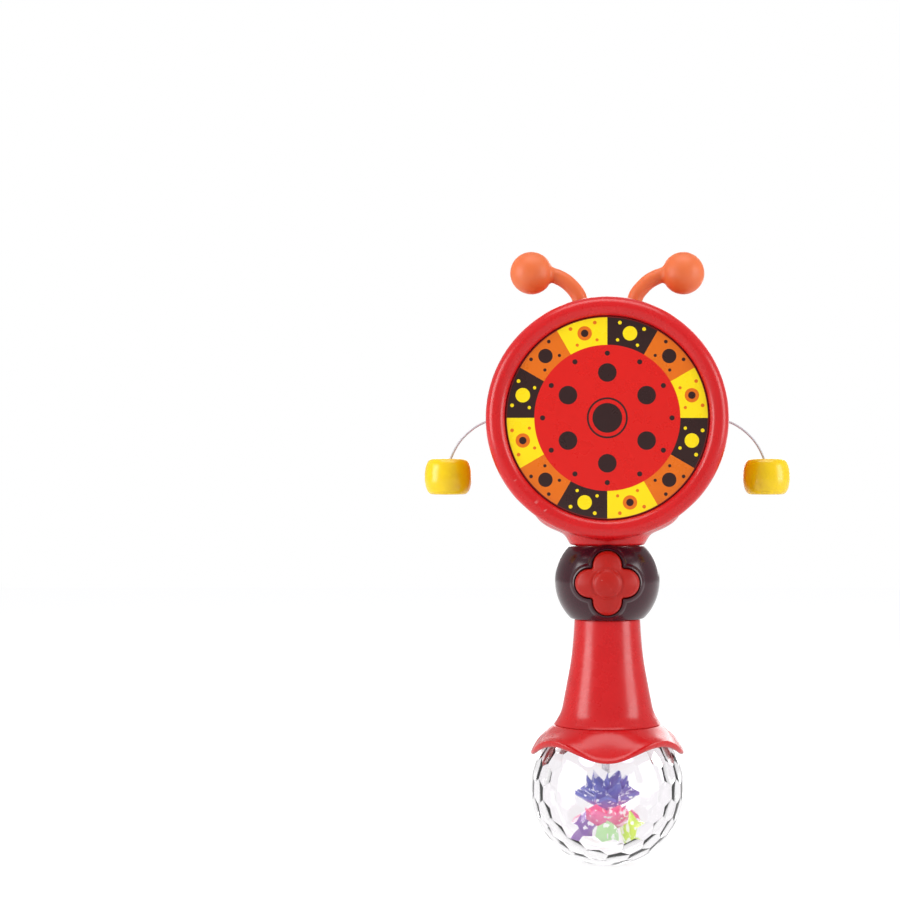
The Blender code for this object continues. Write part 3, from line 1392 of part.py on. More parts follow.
def make_spinner():
    carrier_low = SHAFT_FOOT_Z + SHAFT_FOOT + CLEARANCE
    carrier_high = carrier_low + CARRIER_THICKNESS
    lower_foot = carrier_high + CLEARANCE
    upper_foot = lower_foot + LOWER_STAR_HUB + CLEARANCE
    reach = CHIP_CIRCLE - CHIP_THICKNESS / 2 - CLEARANCE
    half = CARRIER_ARM_WIDTH / 2
    chips = len(CHIPS)
    corner = max(STAR_HUB_RADIUS + 0.0006, half / math.sin(math.pi / chips))
    outline = []
    for i in range(chips):
        along = Matrix.Rotation(CHIP_TURN + 2 * math.pi * i / chips, 2)
        between = Matrix.Rotation(CHIP_TURN + 2 * math.pi * (i + 0.5) / chips, 2)
        outline += [along @ Vector((reach, -half)), along @ Vector((reach, half))]
        outline.append(between @ Vector((corner, 0.0)))
    layers = [[(x, y, height) for x, y in outline] for height in (carrier_low, carrier_high)]
    carrier = loft("chip_carrier", layers, WHITE)
    cut(carrier, cylinder("carrier_hole", SHAFT_RADIUS + CLEARANCE, 0.0, BALL_Z, steps=PIN_STEPS))
    crown(
        "star_lower",
        LOWER_STAR_POINTS,
        LOWER_STAR_RADIUS,
        lower_foot,
        LOWER_STAR_RISE,
        lower_foot + LOWER_STAR_HUB,
        PINK,
    )
    crown(
        "star_upper",
        UPPER_STAR_POINTS,
        UPPER_STAR_RADIUS,
        upper_foot,
        UPPER_STAR_RISE,
        upper_foot + UPPER_STAR_HUB,
        VIOLET,
    )
    middle = (carrier_low + carrier_high) / 2
    for i, (colour, kind, material) in enumerate(CHIPS):
        make_chip(f"chip_{colour}", kind, CHIP_TURN + 2 * math.pi * i / chips, middle, material)


def chip_outline(kind):
    """A small flower, star or dome, in its own plane."""
    if kind == "dome":
        return [(0.9 * x, y) for x, y in arc((0.0, -0.3 * CHIP_RADIUS), CHIP_RADIUS, math.pi, 0.0, 12)]
    lobes = 5 if kind == "flower" else 6
    depth = 0.16 if kind == "flower" else 0.26
    sides = 6 * lobes if kind == "flower" else 2 * lobes
    points = []
    for i in range(sides):
        angle = 2 * math.pi * i / sides + math.pi / 2
        reach = CHIP_RADIUS * (1 - depth + depth * math.cos(lobes * (angle - math.pi / 2)))
        points.append((reach * math.cos(angle), reach * math.sin(angle)))
    return points


def make_chip(name, kind, angle, height, material):
    outward = Vector((math.cos(angle), math.sin(angle), 0.0))
    tangent = Vector((-outward.y, outward.x, 0.0))
    frame = Matrix((tangent, (0.0, 0.0, 1.0), outward)).transposed().to_4x4()
    frame.translation = outward * CHIP_CIRCLE + Vector((0.0, 0.0, height))
    half = CHIP_THICKNESS / 2
    outline = chip_outline(kind)
    loft(name, [[(x, y, depth) for x, y in outline] for depth in (-half, half)], material, frame)


def settle_parts():
    """Turns each part's modifiers into its mesh, and shades round faces smooth."""
    for part in list(PARTS.objects):
        mesh = settled(part)
        part.modifiers.clear()
        part.data = mesh
        mesh.shade_smooth()
        mesh.set_sharp_from_angle(angle=FACET_ANGLE if part.name == "clear_ball" else ROUND_ANGLE)


def pivot(name, place_on_axis, *names):
    """An empty on a joint's axis that carries the pieces that move on it."""
    made = bpy.data.objects.new(name, None)
    made.location = place_on_axis
    PARTS.objects.link(made)
    for moved in names:
        part = bpy.data.objects[moved]
        part.parent = made
        part.matrix_parent_inverse = Matrix.Translation(place_on_axis).inverted()
    return made


def make_pivots():
    pivot("button_pivot", (0.0, 0.0, NECK_BALL_Z), "flower_button")
    height, seat_y = door_screw_place()
    pivot("door_pivot", (0.0, seat_y, height), "battery_door", "battery_door_screw")
    chips = [f"chip_{colour}" for colour, _, _ in CHIPS]
    spinner = ("spinner_shaft", "chip_carrier", "star_lower", "star_upper")
    pivot("spinner_pivot", (0.0, 0.0, SHAFT_FOOT_Z), *spinner, *chips)
    for side, hand in ((-1, "left"), (1, "right")):
        swing = pivot(f"cord_swing_{hand}", (side * CORD_SWING_X, 0.0, DRUM_Z), f"cord_root_{hand}")
        lift_place = (side * CORD_LIFT_X, 0.0, DRUM_Z)
        lift = pivot(f"cord_lift_{hand}", lift_place, f"cord_{hand}", f"bead_knot_{hand}")
        spin_place = (side * BEAD_X, 0.0, BEAD_Z)
        spin = pivot(f"bead_spin_{hand}", spin_place, f"bead_{hand}")
        lift.parent = swing
        lift.matrix_parent_inverse = Matrix.Translation(swing.location).inverted()
        spin.parent = lift
        spin.matrix_parent_inverse = Matrix.Translation(lift_place).inverted()


make_clear_ball()
make_petal_skirt()
make_handle()
make_battery_tray()
make_cells()
make_contacts()
make_neck_ball()
make_speaker()
make_board()
make_button()
make_drum_casing()
make_drum_heads()
make_antennae()
for hand_side, hand_name in ((-1, "left"), (1, "right")):
    make_bead(hand_name, hand_side)
    make_cord(hand_name, hand_side)
make_lamp_tray()
make_spinner()
settle_parts()
make_pivots()
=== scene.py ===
import math

import bmesh
import bpy
import numpy as np
from mathutils import Matrix, Vector


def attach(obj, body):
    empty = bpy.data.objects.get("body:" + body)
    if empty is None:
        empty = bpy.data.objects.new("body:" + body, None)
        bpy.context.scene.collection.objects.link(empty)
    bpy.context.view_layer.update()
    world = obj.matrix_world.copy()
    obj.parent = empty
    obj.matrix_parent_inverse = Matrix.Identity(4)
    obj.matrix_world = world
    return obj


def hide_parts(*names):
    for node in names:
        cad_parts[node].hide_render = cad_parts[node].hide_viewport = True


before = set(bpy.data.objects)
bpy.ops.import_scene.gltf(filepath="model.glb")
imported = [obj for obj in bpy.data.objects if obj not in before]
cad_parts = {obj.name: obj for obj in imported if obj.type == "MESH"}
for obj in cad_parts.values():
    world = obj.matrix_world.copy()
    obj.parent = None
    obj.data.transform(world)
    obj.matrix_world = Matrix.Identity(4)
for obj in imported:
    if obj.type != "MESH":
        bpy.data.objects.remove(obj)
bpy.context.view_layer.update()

HANDS = (("left", -1), ("right", 1))

# Heights and sizes shared with the CAD
BALL_RADIUS = 0.0336
BALL_Z = 0.0327
BALL_MOUTH_Z = 0.0575
BALL_MOUTH_RADIUS = 0.0186
LAMP_RING = 0.0098
LAMP_ANGLES = (90, 210, 330)
CHIP_RING = 0.0124
CHIP_Z = 0.0169
CHIP_SIZE = 0.0062
SKIRT_WEB_Z = 0.0593
SKIRT_TOP_Z = 0.0610
SKIRT_HEM_Z = 0.0488
SKIRT_TOP_RADIUS = 0.0234
SKIRT_HEM_RADIUS = 0.0336
HANDLE_FOOT_Z = 0.0613
HANDLE_LENGTH = 0.0460
HANDLE_TOP_Z = HANDLE_FOOT_Z + HANDLE_LENGTH
HANDLE_WALL = 0.0020
DOOR_HALF_WIDTH = 0.0108
DOOR_FOOT_Z = 0.0728
DOOR_TOP_Z = 0.1030
DOOR_SCREW_Z = 0.0984
DOOR_SCREW_SEAT = 0.011316
HANDLE_SCREW_X = 0.0156
HANDLE_SCREW_Z = 0.0695
HANDLE_SCREW_SEAT = 0.0035
NECK_BALL_RADIUS = 0.0230
NECK_BALL_Z = 0.124025
NECK_BALL_FOOT_Z = 0.1076
NECK_BALL_TOP_Z = 0.139407
NECK_SCREW_X = 0.0162
NECK_SCREW_SEAT = 0.0030
NECK_FOOT_Z = 0.139707
DRUM_Z = 0.195307
DRUM_RIM_Y = 0.0206
DRUM_WAIST_RADIUS = 0.0466
DRUM_CREST_RADIUS = 0.04815
DRUM_WALL = 0.0020
DRUM_SCREW_RING = 0.0408 / math.sqrt(2)
DRUM_SCREW_SEAT = 0.0040
HEAD_Y = 0.0235
LEDGE_Y = 0.0212
LEDGE_RADIUS = 0.0399
ANTENNA_LEAN = 13
ANTENNA_BALL_X = 0.0334
ANTENNA_BALL_RISE = 0.0640
ANTENNA_BALL_RADIUS = 0.00935
HOLE_REACH = 0.0456
BEAD_X = 0.0700
BEAD_DROP = 0.0255
BEAD_RADIUS = 0.01035
BEAD_HEIGHT = 0.0157
CORD_RADIUS = 0.00055
CORD_SWING_X = 0.0469
CORD_LIFT_X = 0.0492
CORD_TWIST = 2300.0

# Fine points of the making: the door's play, the shells' seam, what counts as one
# corner where a cut is closed, and how near to its axis a turned form comes
GAP = 0.0003
SEAM = 0.00002
WELD = 0.000004
AXIS = 0.0001


# Camera: level, straight in front, at the height of the photograph's middle
def set_camera():
    lens = bpy.data.cameras.new("camera")
    lens.sensor_width = 36.0
    lens.lens = 90.9
    lens.shift_x = -0.1748
    camera = bpy.data.objects.new("camera", lens)
    camera.location = (0.0, -1.0, 0.1815)
    camera.rotation_euler = (math.pi / 2, 0.0, 0.0)
    bpy.context.scene.collection.objects.link(camera)
    bpy.context.scene.camera = camera


set_camera()


# Colours and shader wiring
def ink(red, green, blue):
    """A colour given 0 to 255 a channel, as a shader takes it."""
    parts = []
    for level in (red / 255, green / 255, blue / 255):
        parts.append(level / 12.92 if level <= 0.04045 else ((level + 0.055) / 1.055) ** 2.4)
    return (*parts, 1.0)


class Wiring:
    """Adds nodes to a tree. An input takes another node's output, or a value of its own."""

    def __init__(self, tree):
        self.tree = tree

    def add(self, kind, inputs=None, **settings):
        node = self.tree.nodes.new(kind)
        for name, value in settings.items():
            setattr(node, name, value)
        for name, value in (inputs or {}).items():
            self.feed(node.inputs[name], value)
        return node

    def feed(self, socket, value):
        if isinstance(value, bpy.types.NodeSocket):
            self.tree.links.new(value, socket)
        else:
            socket.default_value = value

    def math(self, operation, *values, clamp=False):
        node = self.add("ShaderNodeMath", dict(enumerate(values)), operation=operation)
        node.use_clamp = clamp
        return node.outputs[0]

    def blend(self, share, low, high, way="MIX"):
        node = self.add("ShaderNodeMix", data_type="RGBA", blend_type=way)
        for socket, value in ((0, share), (6, low), (7, high)):
            self.feed(node.inputs[socket], value)
        return node.outputs[2]

    def spread(self, value, low, high, to_low=0.0, to_high=1.0):
        """Carries a value from one range to another, held at its ends."""
        inputs = {0: value, 1: low, 2: high, 3: to_low, 4: to_high}
        return self.add("ShaderNodeMapRange", inputs, clamp=True).outputs[0]

    def step(self, value, edge, soft):
        """0 below an edge and 1 above it, with a soft change."""
        return self.spread(value, edge - soft, edge + soft)

    def noise(self, place, scale, detail=3.0, roughness=0.5):
        inputs = {"Vector": place, "Scale": scale, "Detail": detail, "Roughness": roughness}
        return self.add("ShaderNodeTexNoise", inputs).outputs["Fac"]

    def place(self):
        return self.add("ShaderNodeTexCoord").outputs["Object"]

    def parts(self, vector):
        return self.add("ShaderNodeSeparateXYZ", {0: vector}).outputs


def make_group(name, inputs, outputs):
    """An empty shader group with named inputs and outputs, and the wiring that fills it."""
    tree = bpy.data.node_groups.new(name, "ShaderNodeTree")
    for label, kind, value in inputs:
        socket = tree.interface.new_socket(label, in_out="INPUT", socket_type=kind)
        socket.default_value = value
    for label, kind in outputs:
        tree.interface.new_socket(label, in_out="OUTPUT", socket_type=kind)
    wiring = Wiring(tree)
    return tree, wiring, wiring.add("NodeGroupInput").outputs, wiring.add("NodeGroupOutput").inputs


NUMBER, COLOUR = "NodeSocketFloat", "NodeSocketColor"


def make_moulded_skin():
    """Moulded plastic: slow colour drift, handling marks in the gloss, and a faint ripple."""
    inputs = [
        ("Colour", COLOUR, (0.5, 0.5, 0.5, 1.0)),
        ("Depth", NUMBER, 0.12),
        ("Gloss", NUMBER, 0.25),
        ("Marks", NUMBER, 0.08),
        ("Grain", NUMBER, 900.0),
    ]
    outputs = [("Colour", COLOUR), ("Roughness", NUMBER), ("Height", NUMBER)]
    tree, w, given, result = make_group("moulded_skin", inputs, outputs)
    place = w.place()
    drift = w.spread(w.noise(place, 22.0, 2.0), 0.3, 0.7)
    deeper = w.blend(given["Depth"], given["Colour"], (0.0, 0.0, 0.0, 1.0))
    w.feed(result["Colour"], w.blend(drift, deeper, given["Colour"]))
    smear = w.spread(w.noise(place, 90.0, 4.0, 0.65), 0.42, 0.68)
    fine = w.noise(place, 2600.0, 2.0)
    rough = w.math("MULTIPLY_ADD", smear, given["Marks"], given["Gloss"])
    w.feed(result["Roughness"], w.math("MULTIPLY_ADD", fine, 0.02, rough))
    ripple = w.noise(place, 130.0, 2.0)
    grain = w.noise(place, given["Grain"], 3.0)
    w.feed(result["Height"], w.math("MULTIPLY_ADD", ripple, 0.93, w.math("MULTIPLY", grain, 0.07)))
    return tree


def make_edge_rub():
    """Paler, duller edges, where a shape is rubbed in the hand."""
    inputs = [("Colour", COLOUR, (0.5, 0.5, 0.5, 1.0)), ("Rub", NUMBER, 0.15), ("Roughness", NUMBER, 0.3)]
    outputs = [("Colour", COLOUR), ("Roughness", NUMBER), ("Mask", NUMBER)]
    tree, w, given, result = make_group("edge_rub", inputs, outputs)
    bend = w.spread(w.add("ShaderNodeNewGeometry").outputs["Pointiness"], 0.56, 0.66)
    patch = w.spread(w.noise(w.place(), 240.0, 4.0, 0.7), 0.4, 0.62)
    mask = w.math("MULTIPLY", bend, patch)
    share = w.math("MULTIPLY", mask, given["Rub"])
    w.feed(result["Colour"], w.blend(share, given["Colour"], (0.9, 0.86, 0.84, 1.0)))
    w.feed(result["Roughness"], w.math("MULTIPLY_ADD", mask, 0.12, given["Roughness"]))
    w.feed(result["Mask"], mask)
    return tree


MOULDED_SKIN = make_moulded_skin()
EDGE_RUB = make_edge_rub()


def new_finish(name, **sockets):
    """A material, its wiring and its shader, with values set on the shader's own sockets."""
    made = bpy.data.materials.new(name)
    made.use_nodes = True
    shader = made.node_tree.nodes["Principled BSDF"]
    for label, value in sockets.items():
        shader.inputs[label.replace("_", " ")].default_value = value
    return made, Wiring(made.node_tree), shader.inputs


def add_bump(w, shader, height, strength, reach):
    bump = w.add("ShaderNodeBump", {"Height": height, "Strength": strength, "Distance": reach})
    w.feed(shader["Normal"], bump.outputs["Normal"])


def dress(w, shader, colour, gloss, depth=0.12, marks=0.08, grain=900.0, ripple=0.06, rub=0.15):
    """Wires a moulded skin with rubbed edges into a shader."""
    inputs = {"Colour": colour, "Depth": depth, "Gloss": gloss, "Marks": marks, "Grain": grain}
    skin = w.add("ShaderNodeGroup", node_tree=MOULDED_SKIN)
    for label, value in inputs.items():
        w.feed(skin.inputs[label], value)
    worn = w.add("ShaderNodeGroup", node_tree=EDGE_RUB)
    w.feed(worn.inputs["Colour"], skin.outputs["Colour"])
    w.feed(worn.inputs["Rub"], rub)
    w.feed(worn.inputs["Roughness"], skin.outputs["Roughness"])
    w.feed(shader["Base Color"], worn.outputs["Colour"])
    w.feed(shader["Roughness"], worn.outputs["Roughness"])
    add_bump(w, shader, skin.outputs["Height"], ripple, 0.0004)
    return skin


def plastic(name, colour, gloss=0.22, slot=None, sockets=None, **skin):
    made, w, shader = new_finish(name, **(sockets or {}))
    dress(w, shader, colour, gloss, **skin)
    made["slot"] = slot or name
    return made


GLOSSY = {"Specular_IOR_Level": 0.4, "Coat_Weight": 0.12, "Coat_Roughness": 0.12}
RED = plastic("red_shell", ink(206, 14, 20), 0.24, "red_plastic", GLOSSY)
BROWN = plastic("plum_shell", ink(56, 12, 26), 0.14, "brown_plastic", GLOSSY)
BUTTON_RED = plastic(
    "button_skin", ink(180, 20, 8), 0.36, "button_plastic", {"Specular_IOR_Level": 0.35}, depth=0.08
)
YELLOW = plastic(
    "bead_shell",
    ink(240, 202, 0),
    0.2,
    "bead_plastic",
    {"Subsurface_Weight": 0.15, "Subsurface_Radius": (0.003, 0.0026, 0.0004), "Subsurface_Scale": 0.4},
    depth=0.06,
)
ORANGE = plastic(
    "feeler_rubber",
    ink(224, 110, 56),
    0.42,
    "orange_rubber",
    {"Subsurface_Weight": 0.3, "Subsurface_Radius": (0.006, 0.0025, 0.001), "Subsurface_Scale": 0.6},
    depth=0.05,
    grain=2200.0,
    ripple=0.1,
    rub=0.08,
)
WHITE = plastic("tray_shell", ink(236, 236, 242), 0.35, "white_plastic", depth=0.05)
BLACK = plastic("dark_moulding", ink(34, 34, 37), 0.4, "black_plastic", marks=0.15)
RUBBER = plastic("dome_rubber", ink(146, 146, 150), 0.6, "grey_rubber", grain=3000.0, ripple=0.2)


def make_clear():
    """Clear styrene: barely tinted, with moulding ripple and light finger marks."""
    sockets = {"Base_Color": ink(252, 250, 252), "Transmission_Weight": 1.0, "IOR": 1.49}
    made, w, shader = new_finish("clear_styrene", **sockets)
    place = w.place()
    marks = w.spread(w.noise(place, 120.0, 4.0, 0.6), 0.45, 0.75, 0.03, 0.08)
    w.feed(shader["Roughness"], marks)
    add_bump(w, shader, w.noise(place, 110.0, 1.0), 0.035, 0.0006)
    made["slot"] = "clear_plastic"
    return made


CLEAR = make_clear()


def make_lit_plastic(name, slot, inner, outer, centre, reach, glow=0.3):
    """Tinted see-through plastic over the lamps: two colours from the middle out, painted glints, and a glow.
    The glow is the lamp's own light on the lamp lens, and painted light on the stars and chips.
    """
    # The emission is a painted glow on the stars and chips, which are no lamps; only the lamp lens is a lamp
    made, w, shader = new_finish(name, Emission_Strength=glow, Coat_Weight=0.3, Coat_Roughness=0.05)
    place = w.place()
    offset = w.add("ShaderNodeVectorMath", {0: place, 1: centre}, operation="DISTANCE").outputs["Value"]
    share = w.spread(offset, 0.2 * reach, reach)
    swirl = w.math("MULTIPLY", w.noise(place, 260.0, 2.0), 0.35)
    colour = w.blend(w.math("ADD", w.math("MULTIPLY", share, 0.82), swirl, clamp=True), inner, outer)
    # Painted glints: a few small spots are turned nearly white in the colour, and so glow white too
    glint_spots = w.add("ShaderNodeTexVoronoi", {"Vector": place, "Scale": 1100.0})
    painted_glints = w.math("MULTIPLY", w.step(w.parts(glint_spots.outputs["Color"])["X"], 0.88, 0.01), 0.75)
    colour = w.blend(painted_glints, colour, (1.0, 1.0, 1.0, 1.0))
    dress(w, shader, colour, 0.14, depth=0.04, marks=0.05, rub=0.0)
    w.feed(shader["Emission Color"], colour)
    made["slot"] = slot
    return made


def make_metal(name, slot, colour, roughness, brushing):
    """Drawn or pressed metal, with fine marks along one way."""
    made, w, shader = new_finish(name, Metallic=1.0)
    place = w.place()
    stretched = w.add("ShaderNodeMapping", {"Vector": place, "Scale": brushing}).outputs[0]
    lines = w.noise(stretched, 900.0, 3.0, 0.6)
    w.feed(shader["Base Color"], w.blend(w.spread(lines, 0.3, 0.7), colour, ink(225, 225, 228)))
    w.feed(shader["Roughness"], w.spread(w.noise(place, 300.0, 3.0), 0.3, 0.7, roughness, roughness + 0.16))
    add_bump(w, shader, lines, 0.15, 0.0001)
    made["slot"] = slot
    return made


STEEL = make_metal("screw_steel", "steel", ink(176, 177, 182), 0.22, (1.0, 1.0, 1.0))
CAN = make_metal("motor_can", "steel", ink(160, 162, 168), 0.28, (1.0, 1.0, 14.0))
SPRING_STRIP = make_metal("contact_strip", "steel", ink(190, 188, 176), 0.2, (6.0, 1.0, 1.0))


def make_laid_cord():
    """White nylon with painted shade in the grooves of its lay."""
    made, w, shader = new_finish("laid_cord", Sheen_Weight=0.3, Sheen_Roughness=0.4)
    along = w.add("ShaderNodeMapping", {"Vector": w.place(), "Scale": (1.0, 1.0, 0.4)})
    fibre = w.noise(along.outputs[0], 5200.0, 3.0)
    # Painted shade: where the surface curves inwards, in the lay's grooves, the colour turns darker
    bend = w.spread(w.add("ShaderNodeNewGeometry").outputs["Pointiness"], 0.44, 0.56)
    colour = w.blend(bend, ink(150, 150, 158), ink(206, 206, 212))
    w.feed(shader["Base Color"], w.blend(w.math("MULTIPLY", fibre, 0.2), colour, ink(150, 148, 150)))
    w.feed(shader["Roughness"], w.spread(fibre, 0.3, 0.7, 0.45, 0.65))
    add_bump(w, shader, fibre, 0.3, 0.0001)
    made["slot"] = "nylon_cord"
    return made


CORD = make_laid_cord()


def make_polar_place():
    """A drum head's own measures: distance from its middle and the turn round it, 0 to 1."""
    outputs = [("Reach", NUMBER), ("Turn", NUMBER)]
    tree, w, given, result = make_group("head_measures", [("Height", NUMBER, DRUM_Z)], outputs)
    parts = w.parts(w.place())
    up = w.math("SUBTRACT", parts["Z"], given["Height"])
    squares = w.math("ADD", w.math("MULTIPLY", parts["X"], parts["X"]), w.math("MULTIPLY", up, up))
    w.feed(result["Reach"], w.math("SQRT", squares))
    turn = w.math("DIVIDE", w.math("ARCTAN2", up, parts["X"]), 2 * math.pi)
    w.feed(result["Turn"], w.math("FRACT", w.math("ADD", turn, 1.0)))
    return tree


def make_ring_of_spots():
    """A mask of round spots set evenly on a ring."""
    inputs = [
        ("Reach", NUMBER, 0.0),
        ("Turn", NUMBER, 0.0),
        ("Count", NUMBER, 6.0),
        ("Ring", NUMBER, 0.02),
        ("Size", NUMBER, 0.002),
        ("Shift", NUMBER, 0.0),
    ]
    tree, w, given, result = make_group("ring_of_spots", inputs, [("Mask", NUMBER)])
    share = w.math("FRACT", w.math("ADD", w.math("MULTIPLY", given["Turn"], given["Count"]), given["Shift"]))
    angle = w.math("DIVIDE", w.math("MULTIPLY", w.math("SUBTRACT", share, 0.5), 2 * math.pi), given["Count"])
    across = w.math("MULTIPLY", given["Reach"], w.math("SINE", angle))
    out = w.math("SUBTRACT", w.math("MULTIPLY", given["Reach"], w.math("COSINE", angle)), given["Ring"])
    far = w.math("SQRT", w.math("ADD", w.math("MULTIPLY", across, across), w.math("MULTIPLY", out, out)))
    edge = w.math("SUBTRACT", given["Size"], far)
    w.feed(result["Mask"], w.spread(edge, -0.00006, 0.00006))
    return tree


HEAD_MEASURES = make_polar_place()
RING_OF_SPOTS = make_ring_of_spots()


def make_printed_head(name, wedge_inks, disc_ink, spot_ink):
    """A printed drum head: a disc with dots inside twelve coloured wedges with plain motifs, and a painted
    shadow on its rounded edge.
    """
    made, w, shader = new_finish(name, Specular_IOR_Level=0.35)
    measures = w.add("ShaderNodeGroup", node_tree=HEAD_MEASURES).outputs
    reach, turn = measures["Reach"], measures["Turn"]

    def spots(count, ring, size, shift=0.0):
        inputs = {"Reach": reach, "Turn": turn, "Count": count, "Ring": ring, "Size": size, "Shift": shift}
        node = w.add("ShaderNodeGroup", node_tree=RING_OF_SPOTS)
        for label, value in inputs.items():
            w.feed(node.inputs[label], value)
        return node.outputs["Mask"]

    def beyond(edge):
        return w.step(reach, edge, 0.00008)

    # The wedges round the disc: three inks in turn, each with spots of the others
    kind = w.math("MODULO", w.math("FLOOR", w.math("MULTIPLY", turn, 12.0)), 3.0)
    second = w.step(kind, 0.5, 0.01)
    third = w.step(kind, 1.5, 0.01)
    one, two, three = wedge_inks
    colour = w.blend(third, w.blend(second, one, two), three)
    motif = w.blend(third, w.blend(second, two, three), one)
    motifs = w.math("MAXIMUM", spots(12.0, 0.0376, 0.0031), spots(24.0, 0.0338, 0.0007))
    motifs = w.math("MAXIMUM", motifs, spots(24.0, 0.0413, 0.0008))
    colour = w.blend(motifs, colour, motif)
    colour = w.blend(spots(12.0, 0.0376, 0.0016), colour, w.blend(third, three, one))

    # The disc: two rings of dots, a dark middle and a fine ring round it
    disc = w.blend(spots(6.0, 0.0195, 0.0040), disc_ink, spot_ink)
    disc = w.blend(spots(12.0, 0.0278, 0.0011, 0.5), disc, spot_ink)
    disc = w.blend(beyond(0.0064), spot_ink, disc)
    disc = w.blend(w.math("SUBTRACT", beyond(0.0080), beyond(0.0088)), disc, spot_ink)
    colour = w.blend(beyond(0.0314), disc, colour)
    # Painted shadow: the rounded edge beyond 43.2 mm is dark maroon, as the shadow in the gap round the head
    colour = w.blend(w.step(reach, 0.0432, 0.0001), colour, ink(120, 22, 24))
    dress(w, shader, colour, 0.26, depth=0.03, marks=0.06, ripple=0.03, rub=0.0)
    made["slot"] = "printed_head"
    return made


HEAD_INKS = [ink(248, 218, 10), ink(222, 108, 14), ink(46, 22, 20)]
HEAD_PRINT = make_printed_head("head_print", HEAD_INKS, ink(214, 22, 16), ink(46, 22, 22))

# The stars keep the default glow of 0.3: painted light, standing in for the lamps lighting the inside of the
# ball
STAR_VIOLET = make_lit_plastic(
    "violet_star", "violet_plastic", ink(150, 96, 178), ink(92, 96, 178), (0.004, 0.0, 0.026), 0.014
)
STAR_PINK = make_lit_plastic(
    "pink_star", "pink_plastic", ink(222, 52, 128), ink(238, 120, 170), (0.0, 0.0, 0.024), 0.011
)
CHIP_FINISH = {
    "magenta": (ink(210, 40, 110), ink(225, 80, 140), "magenta_plastic"),
    "orange": (ink(238, 140, 70), ink(245, 180, 100), "orange_plastic"),
    "pink": (ink(232, 100, 150), ink(240, 150, 180), "pink_plastic"),
    "purple": (ink(110, 70, 150), ink(150, 100, 180), "purple_plastic"),
    "green": (ink(175, 222, 150), ink(190, 225, 180), "green_plastic"),
    "lime": (ink(214, 236, 40), ink(190, 225, 80), "lime_plastic"),
}
LAMP = make_lit_plastic(
    "lamp_lens", "lamp_lens", ink(255, 250, 255), ink(225, 220, 255), (0.0, 0.0, 0.046), 0.014, 1.2
)


def make_board_finish():
    """Green lacquer over copper tracks."""
    made, w, shader = new_finish("board_lacquer", Coat_Weight=0.5, Coat_Roughness=0.15)
    place = w.place()
    grid = w.add("ShaderNodeTexBrick", {"Vector": place, "Scale": 900.0, "Mortar Size": 0.06})
    tracks = w.math("MULTIPLY", grid.outputs["Fac"], w.spread(w.noise(place, 300.0, 1.0), 0.45, 0.55))
    w.feed(shader["Base Color"], w.blend(tracks, ink(22, 84, 48), ink(60, 140, 84)))
    w.feed(shader["Roughness"], w.spread(w.noise(place, 700.0, 3.0), 0.3, 0.7, 0.3, 0.45))
    add_bump(w, shader, tracks, 0.3, 0.0001)
    made["slot"] = "circuit_board"
    return made


def make_cell_wrap():
    """A shrink-wrapped cell: dark below, a coloured band above, and creases at its ends."""
    made, w, shader = new_finish("cell_wrap", Coat_Weight=0.6, Coat_Roughness=0.1)
    height = w.parts(w.place())["Z"]
    band = w.math("SUBTRACT", w.step(height, 0.0960, 0.0001), w.step(height, 0.1080, 0.0001))
    w.feed(shader["Base Color"], w.blend(band, ink(30, 34, 44), ink(214, 150, 46)))
    crease = w.noise(w.place(), 700.0, 4.0, 0.6)
    w.feed(shader["Roughness"], w.spread(crease, 0.3, 0.7, 0.25, 0.42))
    add_bump(w, shader, crease, 0.2, 0.0002)
    made["slot"] = "cell_wrap"
    return made


BOARD = make_board_finish()
CELL = make_cell_wrap()


# Pieces that the CAD already shapes well enough, seen only through openings
CARRIED = {
    "battery_contact_bridge": SPRING_STRIP,
    "battery_contact_left": SPRING_STRIP,
    "battery_contact_right": SPRING_STRIP,
    "battery_left": CELL,
    "battery_right": CELL,
    "battery_tray": BLACK,
    "chip_carrier": WHITE,
    "motor": CAN,
    "sound_board": BOARD,
    "speaker": BLACK,
    "spinner_shaft": STEEL,
    "switch_dome": RUBBER,
}


def dress_carried():
    for node, finish_used in CARRIED.items():
        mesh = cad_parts[node].data
        mesh.materials.clear()
        mesh.materials.append(finish_used)


# Shapes
def stand(name, mesh):
    """Puts a mesh into the scene as an object of its own."""
    made = bpy.data.objects.new(name, mesh)
    bpy.context.scene.collection.objects.link(made)
    return made


def from_form(name, form):
    """Keeps a form that is being worked on as an object, and lets the form go."""
    mesh = bpy.data.meshes.new(name)
    form.to_mesh(mesh)
    form.free()
    return stand(name, mesh)


def smooth_line(points, pieces):
    """A smooth curve through points, with so many pieces between each two."""
    points = [Vector(point) for point in points]
    ends = [2 * points[0] - points[1], *points, 2 * points[-1] - points[-2]]
    line = []
    for before, start, stop, after in zip(ends, ends[1:], ends[2:], ends[3:]):
        for step in range(pieces):
            t = step / pieces
            rest = 2 * start + (stop - before) * t
            bend = (2 * before - 5 * start + 4 * stop - after) * t**2
            line.append(0.5 * (rest + bend + (3 * start - before - 3 * stop + after) * t**3))
    return [*line, points[-1]]


def arc(centre, radius, start, stop, pieces):
    """Points of an arc in a plane, between two angles in degrees."""
    angles = [math.radians(start + (stop - start) * step / pieces) for step in range(pieces + 1)]
    across, up = radius if isinstance(radius, tuple) else (radius, radius)
    return [(centre[0] + across * math.cos(a), centre[1] + up * math.sin(a)) for a in angles]


def shape(name, points, faces):
    """A closed form with its faces turned outwards."""
    mesh = bpy.data.meshes.new(name)
    mesh.from_pydata([tuple(point) for point in points], [], faces)
    form = bmesh.new()
    form.from_mesh(mesh)
    bmesh.ops.recalc_face_normals(form, faces=form.faces)
    form.to_mesh(mesh)
    form.free()
    return stand(name, mesh)


